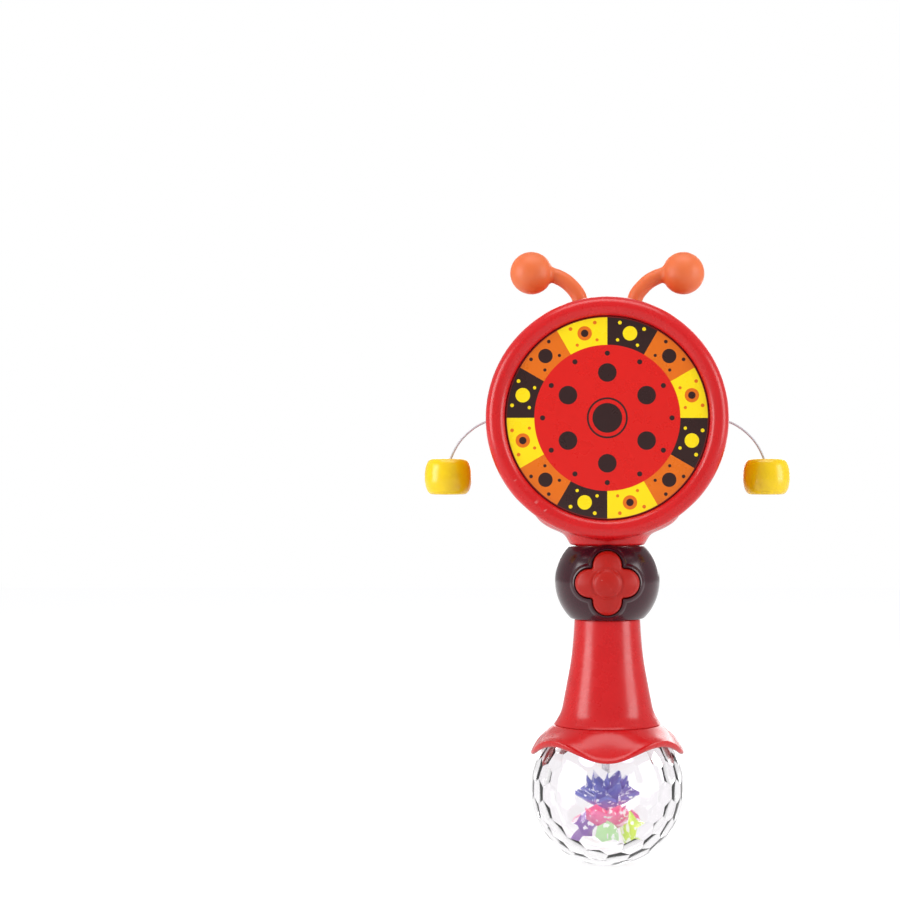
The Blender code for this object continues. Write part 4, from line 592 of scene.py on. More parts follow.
def skin(name, rings, loop=False):
    """Faces from ring to ring. A loop joins the last ring to the first, else both ends are closed."""
    count = len(rings[0])
    points = [point for ring in rings for point in ring]
    faces = []
    for i in range(len(rings) if loop else len(rings) - 1):
        low, high = i * count, (i + 1) % len(rings) * count
        for j in range(count):
            k = (j + 1) % count
            faces.append((low + j, low + k, high + k, high + j))
    if not loop:
        faces.append(tuple(range(count)))
        faces.append(tuple(range(len(points) - count, len(points))))
    return shape(name, points, faces)


def spun(name, outline, steps=96, loop=False):
    """An outline of (radius, height) turned about the Z axis."""
    rings = []
    for radius, height in outline:
        angles = [2 * math.pi * step / steps for step in range(steps)]
        radius = max(radius, AXIS)
        rings.append([(radius * math.cos(a), radius * math.sin(a), height) for a in angles])
    return skin(name, rings, loop)


def rod(name, radius, low, high, steps=48):
    return spun(name, [(radius, low), (radius, high)], steps)


def block(name, low, high):
    (x0, y0, z0), (x1, y1, z1) = low, high
    rings = [[(x0, y0, z), (x1, y0, z), (x1, y1, z), (x0, y1, z)] for z in (z0, z1)]
    return skin(name, rings)


def swept(name, line, radius, sides=16, twist=0.0, section=None):
    """A round or shaped section carried along a line, turning with it."""
    line = [Vector(point) for point in line]
    radii = radius if isinstance(radius, list) else [radius] * len(line)
    ways = [(b - a).normalized() for a, b in zip(line, line[1:])]
    ways = [ways[0], *[(a + b).normalized() for a, b in zip(ways, ways[1:])], ways[-1]]
    side = ways[0].cross(Vector((0.0, 1.0, 0.0)))
    if side.length < 0.1:
        side = ways[0].cross(Vector((1.0, 0.0, 0.0)))
    section = section or [1.0] * sides
    rings, travelled = [], 0.0
    for i, (centre, way, size) in enumerate(zip(line, ways, radii)):
        side = (side - way * side.dot(way)).normalized()
        across = way.cross(side)
        travelled += (centre - line[i - 1]).length if i else 0.0
        ring = []
        for j, reach in enumerate(section):
            angle = 2 * math.pi * j / len(section) + twist * travelled
            ring.append(centre + size * reach * (side * math.cos(angle) + across * math.sin(angle)))
        rings.append(ring)
    return skin(name, rings)


def put(made, matrix):
    made.data.transform(matrix)
    return made


def facing_front(x=0.0, y=0.0, z=0.0):
    return Matrix.Translation((x, y, z)) @ Matrix.Rotation(math.pi / 2, 4, "X")


def facing_rear(x=0.0, y=0.0, z=0.0):
    return Matrix.Translation((x, y, z)) @ Matrix.Rotation(-math.pi / 2, 4, "X")


def settle(made):
    """Keeps a form as its modifiers leave it."""
    mesh = bpy.data.meshes.new_from_object(made.evaluated_get(bpy.context.evaluated_depsgraph_get()))
    made.modifiers.clear()
    made.data = mesh
    return made


def combine(made, way, *others):
    """Joins other closed forms to this one, cuts them out of it, or keeps what they share."""
    for other in others:
        change = made.modifiers.new(way.lower(), "BOOLEAN")
        change.operation, change.solver, change.object = way, "EXACT", other
    settle(made)
    for other in others:
        bpy.data.objects.remove(other)
    return made


def half_of(whole, name, side):
    """What lies on one side of the seam, with its cut faces closed."""
    form = bmesh.new()
    form.from_mesh(whole.data)
    everything = [*form.verts, *form.edges, *form.faces]
    plane = {"plane_co": (0.0, side * SEAM / 2, 0.0), "plane_no": (0.0, -side, 0.0)}
    cut = bmesh.ops.bisect_plane(form, geom=everything, clear_outer=True, **plane)
    corners = [part for part in cut["geom_cut"] if isinstance(part, bmesh.types.BMVert)]
    bmesh.ops.remove_doubles(form, verts=corners, dist=WELD)
    rim = [edge for edge in form.edges if edge.is_boundary]
    bmesh.ops.triangle_fill(form, edges=rim, use_beauty=True, normal=(0.0, -side, 0.0))
    return from_form(name, form)


def halves(name, whole):
    """The front and rear halves of a closed form, with the seam's hairline between them."""
    front, rear = half_of(whole, f"{name}_front", -1), half_of(whole, f"{name}_rear", 1)
    bpy.data.objects.remove(whole)
    return front, rear


def finish(made, body, material, *nodes, crease=32):
    """Smooth shading up to a crease, a finish, and the body that it rides on."""
    made.data.materials.clear()
    made.data.materials.append(material)
    made.data.shade_smooth()
    made.data.set_sharp_from_angle(angle=math.radians(crease))
    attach(made, body)
    if nodes:
        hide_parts(*nodes)
    return made


def joined(name, *forms):
    """Several closed forms as one piece."""
    whole = bmesh.new()
    for form in forms:
        whole.from_mesh(form.data)
        bpy.data.objects.remove(form)
    return from_form(name, whole)


# Cords, beads and knots, which hang at the drum's sides
def cord_line(side):
    """The cord's rest line: out of the casing, down in a limp curve, and into the bead."""
    fall = [
        (0.0068, 0.0014),
        (0.0102, 0.0030),
        (0.0133, 0.0051),
        (0.0166, 0.0081),
        (0.0192, 0.0114),
        (0.0209, 0.0144),
        (0.0223, 0.0176),
    ]
    places = [(CORD_LIFT_X, 0.0), *[(DRUM_WAIST_RADIUS + out, down) for out, down in fall]]
    places += [(BEAD_X, 0.02095), (BEAD_X, 0.02745), (BEAD_X, 0.02915)]
    return smooth_line([(side * x, 0.0, DRUM_Z - down) for x, down in places], 6)


def make_cord(hand, side):
    """A laid nylon cord: three strands that turn round its line."""
    strands = [1.0 - 0.16 * abs(math.sin(1.5 * 2 * math.pi * step / 18)) for step in range(18)]
    rest_line = cord_line(side)
    line = []
    for start, stop in zip(rest_line, rest_line[1:]):
        line += [start.lerp(stop, step / 4) for step in range(4)]
    line.append(rest_line[-1])
    cord = swept(f"hung_cord_{hand}", line, CORD_RADIUS, twist=CORD_TWIST * side, section=strands)
    finish(cord, f"cord_{hand}", CORD, f"cord_{hand}", crease=80)

    knot = make_knot(f"bead_end_knot_{hand}", Matrix.Translation((side * BEAD_X, 0.0, DRUM_Z - 0.03115)))
    finish(knot, f"cord_{hand}", CORD, f"bead_knot_{hand}", crease=80)
    root_line = [(side * (CORD_SWING_X + 0.00012 * step), 0.0, DRUM_Z) for step in range(-4, 24)]
    root = swept(f"root_of_cord_{hand}", root_line, CORD_RADIUS, twist=CORD_TWIST * side, section=strands)
    finish(root, f"cord_root_{hand}", CORD, f"cord_root_{hand}", crease=80)
    anchor = make_knot(f"inner_knot_{hand}", Matrix.Translation((side * 0.0426, 0.0, DRUM_Z)))
    stem_line = [(side * (0.0430 + 0.0002 * step), 0.0, DRUM_Z) for step in range(20)]
    stem = swept(f"stem_{hand}", stem_line, CORD_RADIUS, twist=CORD_TWIST * side, section=strands)
    anchor = joined(f"anchored_cord_{hand}", anchor, stem)
    finish(anchor, "toy", CORD, f"cord_anchor_{hand}", crease=80)


def make_knot(name, matrix):
    """A pulled-tight overhand knot in the cord."""
    line = []
    for step in range(61):
        turn = 2 * math.pi * step / 60
        reach = 0.00058 + 0.00028 * math.cos(3 * turn)
        up = 0.00062 * math.sin(3 * turn)
        line.append((reach * math.cos(2 * turn), reach * math.sin(2 * turn), up))
    return put(swept(name, line, 0.00054, sides=12), matrix)


def make_bead(hand, side):
    """A fat bead with a countersunk hole, a fine parting line and a pocket for the knot."""
    half, reach = BEAD_HEIGHT / 2, BEAD_RADIUS
    flat = 0.62 * reach
    outline = []
    for step in range(37):
        angle = math.pi / 2 - math.pi * step / 36
        radius = flat + (reach - flat) * max(0.0, math.cos(angle)) ** 0.75
        radius -= 0.00006 if step == 18 else 0.0
        outline.append((radius, half * math.sin(angle)))
    inner = [(0.0028, -half), (0.0024, -half + 0.0004), (0.0024, -half + 0.0042), (0.0012, -half + 0.0044)]
    inner += [(0.0012, half - 0.0032), (0.0022, half - 0.0026), (0.0024, half - 0.0005), (0.0029, half)]
    bead = spun(f"threaded_bead_{hand}", [*outline, *inner], loop=True)
    put(bead, Matrix.Translation((side * BEAD_X, 0.0, DRUM_Z - BEAD_DROP)))
    finish(bead, f"bead_{hand}", YELLOW, f"bead_{hand}", crease=50)


# Screws
def make_screw(name, node, body, seat, turn):
    """A pan-head screw from behind, with a cross recess and a cut thread, its head on its seat."""
    head = [(0.0012, 0.0), (0.0024, 0.0), (0.0024, 0.0004), *arc((0.0, 0.0004), (0.0024, 0.0013), 12, 88, 8)]
    top = spun("head", head, 40)
    slots = []
    for quarter in range(2):
        slot = block("slot", (-0.0014, -0.00028, 0.0009), (0.0014, 0.00028, 0.0030))
        slots.append(put(slot, Matrix.Rotation(math.radians(turn + 90 * quarter), 4, "Z")))
    combine(top, "DIFFERENCE", *slots)
    shank = [(0.0003, -0.0108), (0.0009, -0.0098)]
    for step in range(12):
        low = -0.0094 + 0.00075 * step
        shank += [(0.00088, low), (0.0012, low + 0.0003), (0.00088, low + 0.0006)]
    screw = joined(name, top, spun("shank", [*shank, (0.0011, 0.0002)], 24))
    finish(put(screw, facing_rear(*seat)), body, STEEL, node, crease=25)


def well(x, seat_y, z):
    """What a screw's hole takes away from a rear shell: a wide well down to the seat, a hole below."""
    outline = [(AXIS, -0.0113), (0.0014, -0.0113), (0.0014, 0.0), (0.0027, 0.0), (0.0027, 0.06), (AXIS, 0.06)]
    return put(spun("well", outline, 48), facing_rear(x, seat_y, z))


def boss(x, z, radius=0.0035, low=-0.03, high=0.06):
    """The post that a screw runs through, kept back when a shell is hollowed."""
    return put(rod("boss", radius, low, high, 40), facing_rear(x, 0.0, z))


# Clear ball
def facet_corners(distance):
    """Corners of a faceted ball: the points where three neighbouring facets meet."""
    form = bmesh.new()
    bmesh.ops.create_icosphere(form, subdivisions=3, radius=1.0)
    corners = []
    for face in form.faces:
        ways = np.array([tuple(corner.co.normalized()) for corner in face.verts])
        corners.append(np.linalg.solve(ways, np.full(3, distance)))
    form.free()
    return corners


def faceted(name, distance, z):
    """A ball of flat facets, each so far from its middle."""
    form = bmesh.new()
    for corner in facet_corners(distance):
        form.verts.new(tuple(corner))
    bmesh.ops.convex_hull(form, input=form.verts)
    bmesh.ops.dissolve_limit(form, angle_limit=0.02, verts=form.verts, edges=form.edges)
    return put(from_form(name, form), Matrix.Translation((0.0, 0.0, z)))


def make_clear_ball():
    """A smooth round ball with facets moulded inside it, and an open mouth for the lamp tray."""
    foot = math.degrees(math.asin((0.0004 - BALL_Z) / BALL_RADIUS))
    mouth = math.degrees(math.asin((BALL_MOUTH_Z - BALL_Z) / BALL_RADIUS))
    outline = [(AXIS, 0.0), (0.0072, 0.0), *arc((0.0, BALL_Z), BALL_RADIUS, foot, mouth, 72)]
    ball = spun("light_ball", [*outline, (AXIS, BALL_MOUTH_Z)], 144)
    hollow = faceted("ball_hollow", 0.0283, BALL_Z)
    combine(ball, "DIFFERENCE", hollow, rod("mouth", BALL_MOUTH_RADIUS, 0.0500, 0.0600, 96))
    finish(ball, "toy", CLEAR, "clear_ball", crease=8)


# Skirt
def make_skirt():
    """A flared collar whose hem waves up between four lobes and rolls under."""
    rise, spread = SKIRT_TOP_Z - SKIRT_HEM_Z, SKIRT_HEM_RADIUS - SKIRT_TOP_RADIUS
    shares = [(0.0, 0.0), (0.2, 0.14), (0.45, 0.35), (0.7, 0.59), (0.9, 0.82)]
    flare = [(SKIRT_TOP_RADIUS + spread * a, SKIRT_TOP_Z - rise * d, 0.0) for a, d in shares]
    outer = [(point[0], point[1]) for point in smooth_line(flare, 6)]
    half = 0.0011
    hem = arc((SKIRT_HEM_RADIUS - half, SKIRT_HEM_Z + half), half, 20, -200, 14)
    under = [(radius - 0.0017, height - 0.0016) for radius, height in outer[-6:4:-1]]
    top = [(0.0170, SKIRT_TOP_Z), (0.0232, SKIRT_TOP_Z), (0.0235, SKIRT_TOP_Z - 0.0002)]
    outline = [*top, *outer[1:], *hem, *under, (0.0225, SKIRT_WEB_Z), (0.0170, SKIRT_WEB_Z)]
    skirt = spun("petal_collar", outline, 192, loop=True)
    for corner in skirt.data.vertices:
        x, y, z = corner.co
        share = min(1.0, max(0.0, (math.hypot(x, y) - SKIRT_TOP_RADIUS) / spread))
        wave = 0.5 - 0.5 * math.cos(4 * math.atan2(y, x))
        corner.co.z = z + 0.0062 * wave * share**1.6 - 0.0012 * (1.0 - wave) * share**2
    spigot = [(0.0158, 0.0594), (0.0192, 0.0594), (0.0192, 0.0636), (0.0188, 0.0640), (0.0158, 0.0640)]
    skirt = joined("petal_collar", skirt, spun("spigot", spigot, 96, loop=True))
    finish(skirt, "toy", RED, "petal_skirt")


# Handle, battery door and what shows inside them
HANDLE_LINE = [
    (0.0233, 0.0),
    (0.0224, 0.03),
    (0.0203, 0.12),
    (0.0189, 0.26),
    (0.0176, 0.41),
    (0.0162, 0.58),
    (0.0151, 0.78),
    (0.0144, 1.0),
]


def handle_outline(inset=0.0):
    """The handle's side, from its wide foot to its neck."""
    places = [(r - inset, HANDLE_FOOT_Z + share * HANDLE_LENGTH, 0.0) for r, share in HANDLE_LINE]
    return [(point[0], point[1]) for point in smooth_line(places, 10)]


def handle_solid(name, inset=0.0, top=0.1114):
    """The handle as one filled form, drawn in all round by an inset."""
    foot = [(AXIS, HANDLE_FOOT_Z - 0.00022), (0.0232 - inset, HANDLE_FOOT_Z - 0.00022)]
    foot += [(0.0234 - inset, HANDLE_FOOT_Z)]
    shoulder = arc((0.0140 - inset, HANDLE_TOP_Z - 0.0004), 0.0004, 0, 90, 4)
    neck = [(0.0136 - inset, HANDLE_TOP_Z), (0.0136 - inset, 0.1100), (0.0150 - inset, 0.1100)]
    neck += [(0.0150 - inset, top), (AXIS, top)]
    side = [(r, z) for r, z in handle_outline(inset) if HANDLE_FOOT_Z + 0.0007 < z < HANDLE_TOP_Z - 0.0007]
    return spun(name, [*foot, *side, *shoulder, *neck], 128)


def door_block(name, growth):
    """The battery door's outline as a block with rounded corners."""
    low = (-DOOR_HALF_WIDTH - growth, 0.0, DOOR_FOOT_Z - growth)
    made = block(name, low, (DOOR_HALF_WIDTH + growth, 0.04, DOOR_TOP_Z + growth))
    change = made.modifiers.new("round", "BEVEL")
    change.width, change.segments, change.limit_method = 0.0016, 5, "ANGLE"
    return settle(made)


def make_handle():
    """The handle's two shells, with the battery window in the rear one, and their screws."""
    outer = handle_solid("handle", 0.0)
    hollow = handle_solid("handle_hollow", HANDLE_WALL, 0.1130)
    put(hollow, Matrix.Translation((0.0, 0.0, -0.0008)))
    holes = []
    for side in (-1, 1):
        combine(hollow, "DIFFERENCE", boss(side * HANDLE_SCREW_X, HANDLE_SCREW_Z, 0.0035, -0.015, 0.03))
        holes.append(well(side * HANDLE_SCREW_X, HANDLE_SCREW_SEAT, HANDLE_SCREW_Z))
    combine(outer, "DIFFERENCE", hollow, *holes)
    front, rear = halves("handle", outer)
    combine(rear, "DIFFERENCE", door_block("door_window", 0.0))
    front.name, rear.name = "handle_shell_front", "handle_shell_rear"
    finish(front, "toy", RED, "handle_front", crease=25)
    finish(rear, "toy", RED, "handle_rear", crease=25)
    for (hand, side), turn in zip(HANDS, (12, 57)):
        seat = (side * HANDLE_SCREW_X, HANDLE_SCREW_SEAT, HANDLE_SCREW_Z)
        make_screw(f"screw_handle_{hand}", f"handle_screw_{hand}", "toy", seat, turn)


def make_door():
    """The battery door: a piece of the handle's wall with finger grips and its own screw."""
    door = handle_solid("door", 0.0)
    combine(door, "DIFFERENCE", handle_solid("door_inside", HANDLE_WALL, 0.1130))
    combine(door, "INTERSECT", door_block("door_room", -GAP))
    grips = []
    for step in range(3):
        low = 0.0775 + 0.0026 * step
        bar = swept("grip", [(x * 0.001, 0.0, low) for x in range(-6, 7)], 0.00045, 12)
        for corner in bar.data.vertices:
            corner.co.y += math.sqrt(0.0189**2 - corner.co.x**2) - 0.0003
        grips.append(bar)
    put(grips[1], Matrix.Translation((0.0, -0.0003, 0.0)))
    put(grips[2], Matrix.Translation((0.0, -0.0006, 0.0)))
    pad = put(rod("pad", 0.0040, 0.0, 0.0080), facing_rear(0.0, 0.0075, DOOR_SCREW_Z))
    combine(door, "UNION", pad, *grips)
    combine(door, "DIFFERENCE", well(0.0, DOOR_SCREW_SEAT, DOOR_SCREW_Z))
    finish(door, "battery_door", RED, "battery_door", crease=25)
    seat = (0.0, DOOR_SCREW_SEAT, DOOR_SCREW_Z)
    make_screw("screw_battery_door", "battery_door_screw", "battery_door", seat, 30)


# Neck ball and its button
PETAL_CENTRE, PETAL_RADIUS, PETAL_NOTCH = 0.00769, 0.006292, 0.0012


def flower_line(growth, pieces=16):
    """Four round petals with rounded notches between them, grown outwards."""
    petal, notch = PETAL_RADIUS + growth, max(PETAL_NOTCH - growth, PETAL_NOTCH / 2)
    middle = PETAL_CENTRE / math.sqrt(2)
    across = (middle + math.sqrt((petal + notch) ** 2 - middle**2)) / math.sqrt(2)
    half = math.degrees(math.atan2(across, across - PETAL_CENTRE))
    quarter = arc((PETAL_CENTRE, 0.0), petal, -half, half, pieces)
    quarter += arc((across, across), notch, 180 + half, 270 - half, 6)[1:-1]
    line = []
    for turn in range(4):
        c, s = round(math.cos(turn * math.pi / 2)), round(math.sin(turn * math.pi / 2))
        line += [(c * x - s * y, s * x + c * y) for x, y in quarter]
    return line


def ball_height(across, radius=NECK_BALL_RADIUS):
    """How far a ball's surface stands out, so far across from its middle."""
    return math.sqrt(max(1e-9, radius**2 - across**2))


def make_flower_lip():
    """A soft raised lip round the button's opening, which follows the ball."""
    rings = []
    section = [(0.00035, -0.0022), (0.00035, 0.0003), (0.0004, 0.0006), (0.0006, 0.0008), (0.0010, 0.0009)]
    section += [(0.0014, 0.0008), (0.0018, 0.00045), (0.0022, 0.0001), (0.0026, -0.0005), (0.0026, -0.0022)]
    for growth, height in section:
        ring = []
        for x, y in flower_line(growth):
            up = ball_height(math.hypot(x, y)) + height
            ring.append((x, y, up))
        rings.append(ring)
    return put(skin("flower_lip", rings, loop=True), facing_front(0.0, 0.0, NECK_BALL_Z))


def make_neck_ball():
    """The ball between drum and handle: two shells, the button's opening and the sound holes."""
    radius = NECK_BALL_RADIUS
    foot = math.degrees(math.asin((NECK_BALL_FOOT_Z - NECK_BALL_Z) / radius))
    top = math.degrees(math.asin((NECK_BALL_TOP_Z - NECK_BALL_Z) / radius))
    line = arc((0.0, NECK_BALL_Z), radius, foot + 0.8, top - 0.8, 64)
    foot_end = [(AXIS, NECK_BALL_FOOT_Z), (line[0][0] - 0.0004, NECK_BALL_FOOT_Z)]
    top_end = [(line[-1][0] - 0.0004, NECK_BALL_TOP_Z), (AXIS, NECK_BALL_TOP_Z)]
    ball = spun("neck_ball", [*foot_end, *line, *top_end], 160)
    inner = arc((0.0, NECK_BALL_Z), radius - 0.0019, foot - 2, top + 2, 48)
    hollow = spun("ball_room", [(AXIS, inner[0][1]), *inner, (AXIS, inner[-1][1])], 96)
    holes = [rod("foot_hole", 0.0139, 0.1000, 0.1200, 96), rod("top_hole", 0.0139, 0.1300, 0.1450, 96)]
    for side in (-1, 1):
        combine(hollow, "DIFFERENCE", boss(side * NECK_SCREW_X, NECK_BALL_Z, 0.0035, -0.0116))
        holes.append(well(side * NECK_SCREW_X, NECK_SCREW_SEAT, NECK_BALL_Z))
    combine(ball, "DIFFERENCE", hollow, *holes)
    front, rear = halves("neck_ball", ball)
    lip = make_flower_lip()
    pocket = skin("pocket", [[(x, y, up) for x, y in flower_line(0.00045)] for up in (0.008, 0.040)])
    combine(front, "DIFFERENCE", put(pocket, facing_front(0.0, 0.0, NECK_BALL_Z)))
    front = joined("neck_shell_front", front, lip)
    finish(front, "toy", BROWN, "neck_ball_front", crease=25)
    sound = []
    for step in range(7):
        reach = 0.0048 if step else 0.0
        turn = step * math.pi / 3
        place = facing_rear(reach * math.cos(turn), 0.0, NECK_BALL_Z + reach * math.sin(turn))
        sound.append(put(rod("sound_hole", 0.0011, 0.010, 0.030, 24), place))
    combine(rear, "DIFFERENCE", *sound)
    rear.name = "neck_shell_rear"
    finish(rear, "toy", BROWN, "neck_ball_rear", crease=25)
    for (hand, side), turn in zip(HANDS, (40, 5)):
        seat = (side * NECK_SCREW_X, NECK_SCREW_SEAT, NECK_BALL_Z)
        make_screw(f"screw_neck_{hand}", f"neck_screw_{hand}", "toy", seat, turn)


def make_button():
    """Four domed petals round a raised middle, with a flange that keeps it in."""
    outline = flower_line(-0.00005)
    rings = []
    stem = 0.0020
    for up in (0.0084, 0.0133):
        angles = [math.atan2(y, x) for x, y in outline]
        rings.append([(stem * math.cos(a), stem * math.sin(a), up) for a in angles])
    for growth, up in ((0.0010, 0.0135), (0.0010, 0.0144), (-0.0001, 0.0145)):
        rings.append([(x, y, up) for x, y in flower_line(growth)])
    shares = [1.0, 0.995, 0.985, 0.965, 0.93, *[0.90 - 0.9 * step / 36 for step in range(36)], 0.004]
    for share in shares:
        ring = []
        for x, y in outline:
            reach = math.hypot(x, y) * share
            angle = math.atan2(y, x)
            edge = (1.0 - share) / 0.10
            drop = 0.0017 * (1.0 - math.sqrt(1.0 - (1.0 - min(1.0, edge)) ** 2))
            petal = 0.5 - 0.5 * math.cos(4 * angle)
            middle = 1.0 / (1.0 + math.exp((reach - 0.00585) / 0.00022))
            groove = math.exp(-(((reach - 0.0064) / 0.00045) ** 2))
            crown = 0.0009 * (1.0 - (min(reach, 0.0062) / 0.0062) ** 2)
            valley = 0.0011 * petal * min(1.0, reach / 0.0085) ** 2 * (1.0 - middle)
            up = ball_height(reach, 0.0251) - drop - valley - 0.0004 * groove + middle * (0.0002 + crown)
            ring.append((x * share, y * share, up))
        rings.append(ring)
    button = put(skin("petal_button", rings), facing_front(0.0, 0.0, NECK_BALL_Z))
    above = block("relief_above", (-0.05, -0.0168, 0.1353), (0.05, 0.0, 0.17))
    below = block("relief_below", (-0.05, -0.0168, 0.08), (0.05, 0.0, 0.11275))
    combine(button, "DIFFERENCE", above, below)
    finish(button, "button", BUTTON_RED, "flower_button", crease=50)


# Drum casing
def barrel_line(inset=0.0):
    """The casing's outer line in three parts: the rear rim's crest, the waist and the front crest."""
    rear = arc((DRUM_CREST_RADIUS, DRUM_RIM_Y), (0.00435, 0.0054), 90, 0, 14)
    waist = []
    for step in range(1, 48):
        y = DRUM_RIM_Y * (1 - 2 * step / 48)
        lift = 0.5 - 0.5 * math.cos(math.pi * abs(y) / DRUM_RIM_Y)
        waist.append((DRUM_WAIST_RADIUS + 0.0059 * lift - inset, y))
    return rear, waist, [(radius, -y) for radius, y in reversed(rear)]


def about_drum(made):
    """Turns a form made about Z so that its axis runs from the drum's front to its rear.

    A slight turn about that axis keeps its edges off the seam's plane, where a cut would fail.
    """
    return put(made, facing_rear(0.0, 0.0, DRUM_Z) @ Matrix.Rotation(0.011, 4, "Z"))


def flare_rings():
    """Ovals of the neck that widens into the drum."""
    ovals = [
        (0.0, 0.0, 0.0),
        (0.0042, 0.0025, 0.0012),
        (0.0055, 0.0043, 0.0020),
        (0.0073, 0.0088, 0.0030),
        (0.0103, 0.0135, 0.0042),
        (0.0148, 0.0168, 0.0050),
        (0.0203, 0.0186, 0.0050),
        (0.0263, 0.0190, 0.0044),
    ]
    rings = []
    for rise, wider, deeper in smooth_line(ovals, 5):
        angles = [2 * math.pi * step / 96 for step in range(96)]
        across, deep = 0.0162 + wider, 0.0156 + deeper
        rings.append([(across * math.cos(a), deep * math.sin(a), NECK_FOOT_Z + rise) for a in angles])
    return rings


def drum_outside():
    """Barrel and neck as one skin, with the crease between them melted into a soft hollow."""
    rear, waist, front = barrel_line()
    line = [(AXIS, 0.0260), *rear, *waist, *front, (AXIS, -0.0260)]
    barrel = about_drum(spun("drum", line, 256))
    combine(barrel, "UNION", skin("neck_flare", flare_rings()))
    change = barrel.modifiers.new("one skin", "REMESH")
    change.mode, change.voxel_size = "VOXEL", 0.0007
    settle(barrel)
    melt_neck(barrel)
    return barrel


def melt_neck(barrel):
    """Smooths the crease where the neck meets the drum, after a first light pass over the whole skin."""
    mesh = barrel.data
    places = np.empty(len(mesh.vertices) * 3)
    mesh.vertices.foreach_get("co", places)
    places = places.reshape(-1, 3)
    edges = np.empty(len(mesh.edges) * 2, dtype=int)
    mesh.edges.foreach_get("vertices", edges)
    edges = edges.reshape(-1, 2)
    count = np.bincount(edges.ravel(), minlength=len(places))[:, None]
    reach = np.hypot(places[:, 0], places[:, 2] - DRUM_Z)
    across = np.clip((0.0395 - np.abs(places[:, 0])) / 0.004, 0, 1)
    deep = np.clip((0.0230 - np.abs(places[:, 1])) / 0.002, 0, 1)
    low = np.clip((places[:, 2] - 0.1425) / 0.004, 0, 1)
    high = np.clip((DRUM_Z - 0.020 - places[:, 2]) / 0.006, 0, 1)
    share = (across * deep * (low * high) * (reach > 0.044))[:, None]
    for step in range(30):
        total = np.zeros_like(places)
        np.add.at(total, edges[:, 0], places[edges[:, 1]])
        np.add.at(total, edges[:, 1], places[edges[:, 0]])
        here = np.maximum(share, 0.8) if step < 4 else share
        places += here * 0.6 * (total / count - places)
    mesh.vertices.foreach_set("co", places.ravel())
    mesh.update()


def drum_core():
    """The air in the drum: a recess for each head, an opening behind it, and the hollow between."""
    end = [(AXIS, 0.0300), (DRUM_CREST_RADIUS, 0.0300), (DRUM_CREST_RADIUS, 0.02605), (0.0462, 0.0256)]
    end += [(0.0452, 0.0250), (0.0444, 0.0240), (0.0441, HEAD_Y), (0.0441, LEDGE_Y)]
    end += [(LEDGE_RADIUS, LEDGE_Y), (LEDGE_RADIUS, 0.0192), (0.0438, 0.0192)]
    waist = [(radius, y) for radius, y in barrel_line(DRUM_WALL)[1] if abs(y) < 0.0188]
    return about_drum(spun("drum_core", [*end, *waist, *[(r, -y) for r, y in reversed(end)]], 250))


def make_casing():
    """The drum's two shells with screw posts, holes for cords and antennae, and the neck's spigot."""
    outside = drum_outside()
    core = drum_core()
    cutters = []
    for x in (-DRUM_SCREW_RING, DRUM_SCREW_RING):
        for z in (DRUM_Z - DRUM_SCREW_RING, DRUM_Z + DRUM_SCREW_RING):
            combine(core, "DIFFERENCE", boss(x, z, 0.0045, -0.0200, 0.0200))
            cutters.append(well(x, DRUM_SCREW_SEAT, z))
    spigot = [(0.0116, 0.1356), (0.0150, 0.1356), (0.0150, 0.1370), (0.0136, 0.1371)]
    spigot += [(0.0136, 0.1402), (0.0116, 0.1402)]
    cutters.append(rod("neck_bore", 0.0116, 0.1300, 0.1560, 90))
    for side in (-1, 1):
        cutters.append(put(rod("cord_hole", 0.0010, -0.006, 0.006, 24), cord_hole_place(side)))
        cutters.append(put(rod("antenna_hole", 0.0037, -0.006, 0.006, 48), antenna_hole_place(side)))
    combine(outside, "DIFFERENCE", core, *cutters)
    combine(outside, "UNION", spun("neck_spigot", spigot, 96, loop=True))
    front, rear = halves("drum", outside)
    front.name, rear.name = "drum_shell_front", "drum_shell_rear"
    finish(front, "toy", RED, "drum_casing_front", crease=28)
    finish(rear, "toy", RED, "drum_casing_rear", crease=28)
    turns = iter((20, 65, 80, 35))
    for height, up in (("lower", -1), ("upper", 1)):
        for hand, side in HANDS:
            node = f"drum_screw_{height}_{hand}"
            seat = (side * DRUM_SCREW_RING, DRUM_SCREW_SEAT, DRUM_Z + up * DRUM_SCREW_RING)
            make_screw(f"screw_{height}_{hand}", node, "toy", seat, next(turns))


def cord_hole_place(side):
    return Matrix.Translation((side * HOLE_REACH, 0.0, DRUM_Z)) @ Matrix.Rotation(math.pi / 2, 4, "Y")


def antenna_hole_place(side):
    lean = math.radians(ANTENNA_LEAN * side)
    way = Vector((math.sin(lean), 0.0, math.cos(lean)))
    return Matrix.Translation(way * HOLE_REACH + Vector((0.0, 0.0, DRUM_Z))) @ Matrix.Rotation(lean, 4, "Y")


def make_head(face, facing):
    """A drum head: a thin disc with a rounded edge and a slight crown."""
    outline = [(AXIS, 0.0215), (0.0434, 0.0215), (0.0438, 0.0219), (0.0438, 0.0230)]
    outline += arc((0.0432, 0.0230), 0.0006, 0, 90, 5)[1:]
    for share in (0.9, 0.7, 0.5, 0.3, 0.1, 0.0):
        outline.append((0.0432 * share, 0.0236 + 0.0003 * (1 - share**2)))
    head = spun(f"printed_head_{face}", outline, 192)
    finish(put(head, facing(0.0, 0.0, DRUM_Z)), "toy", HEAD_PRINT, f"drum_head_{face}", crease=50)


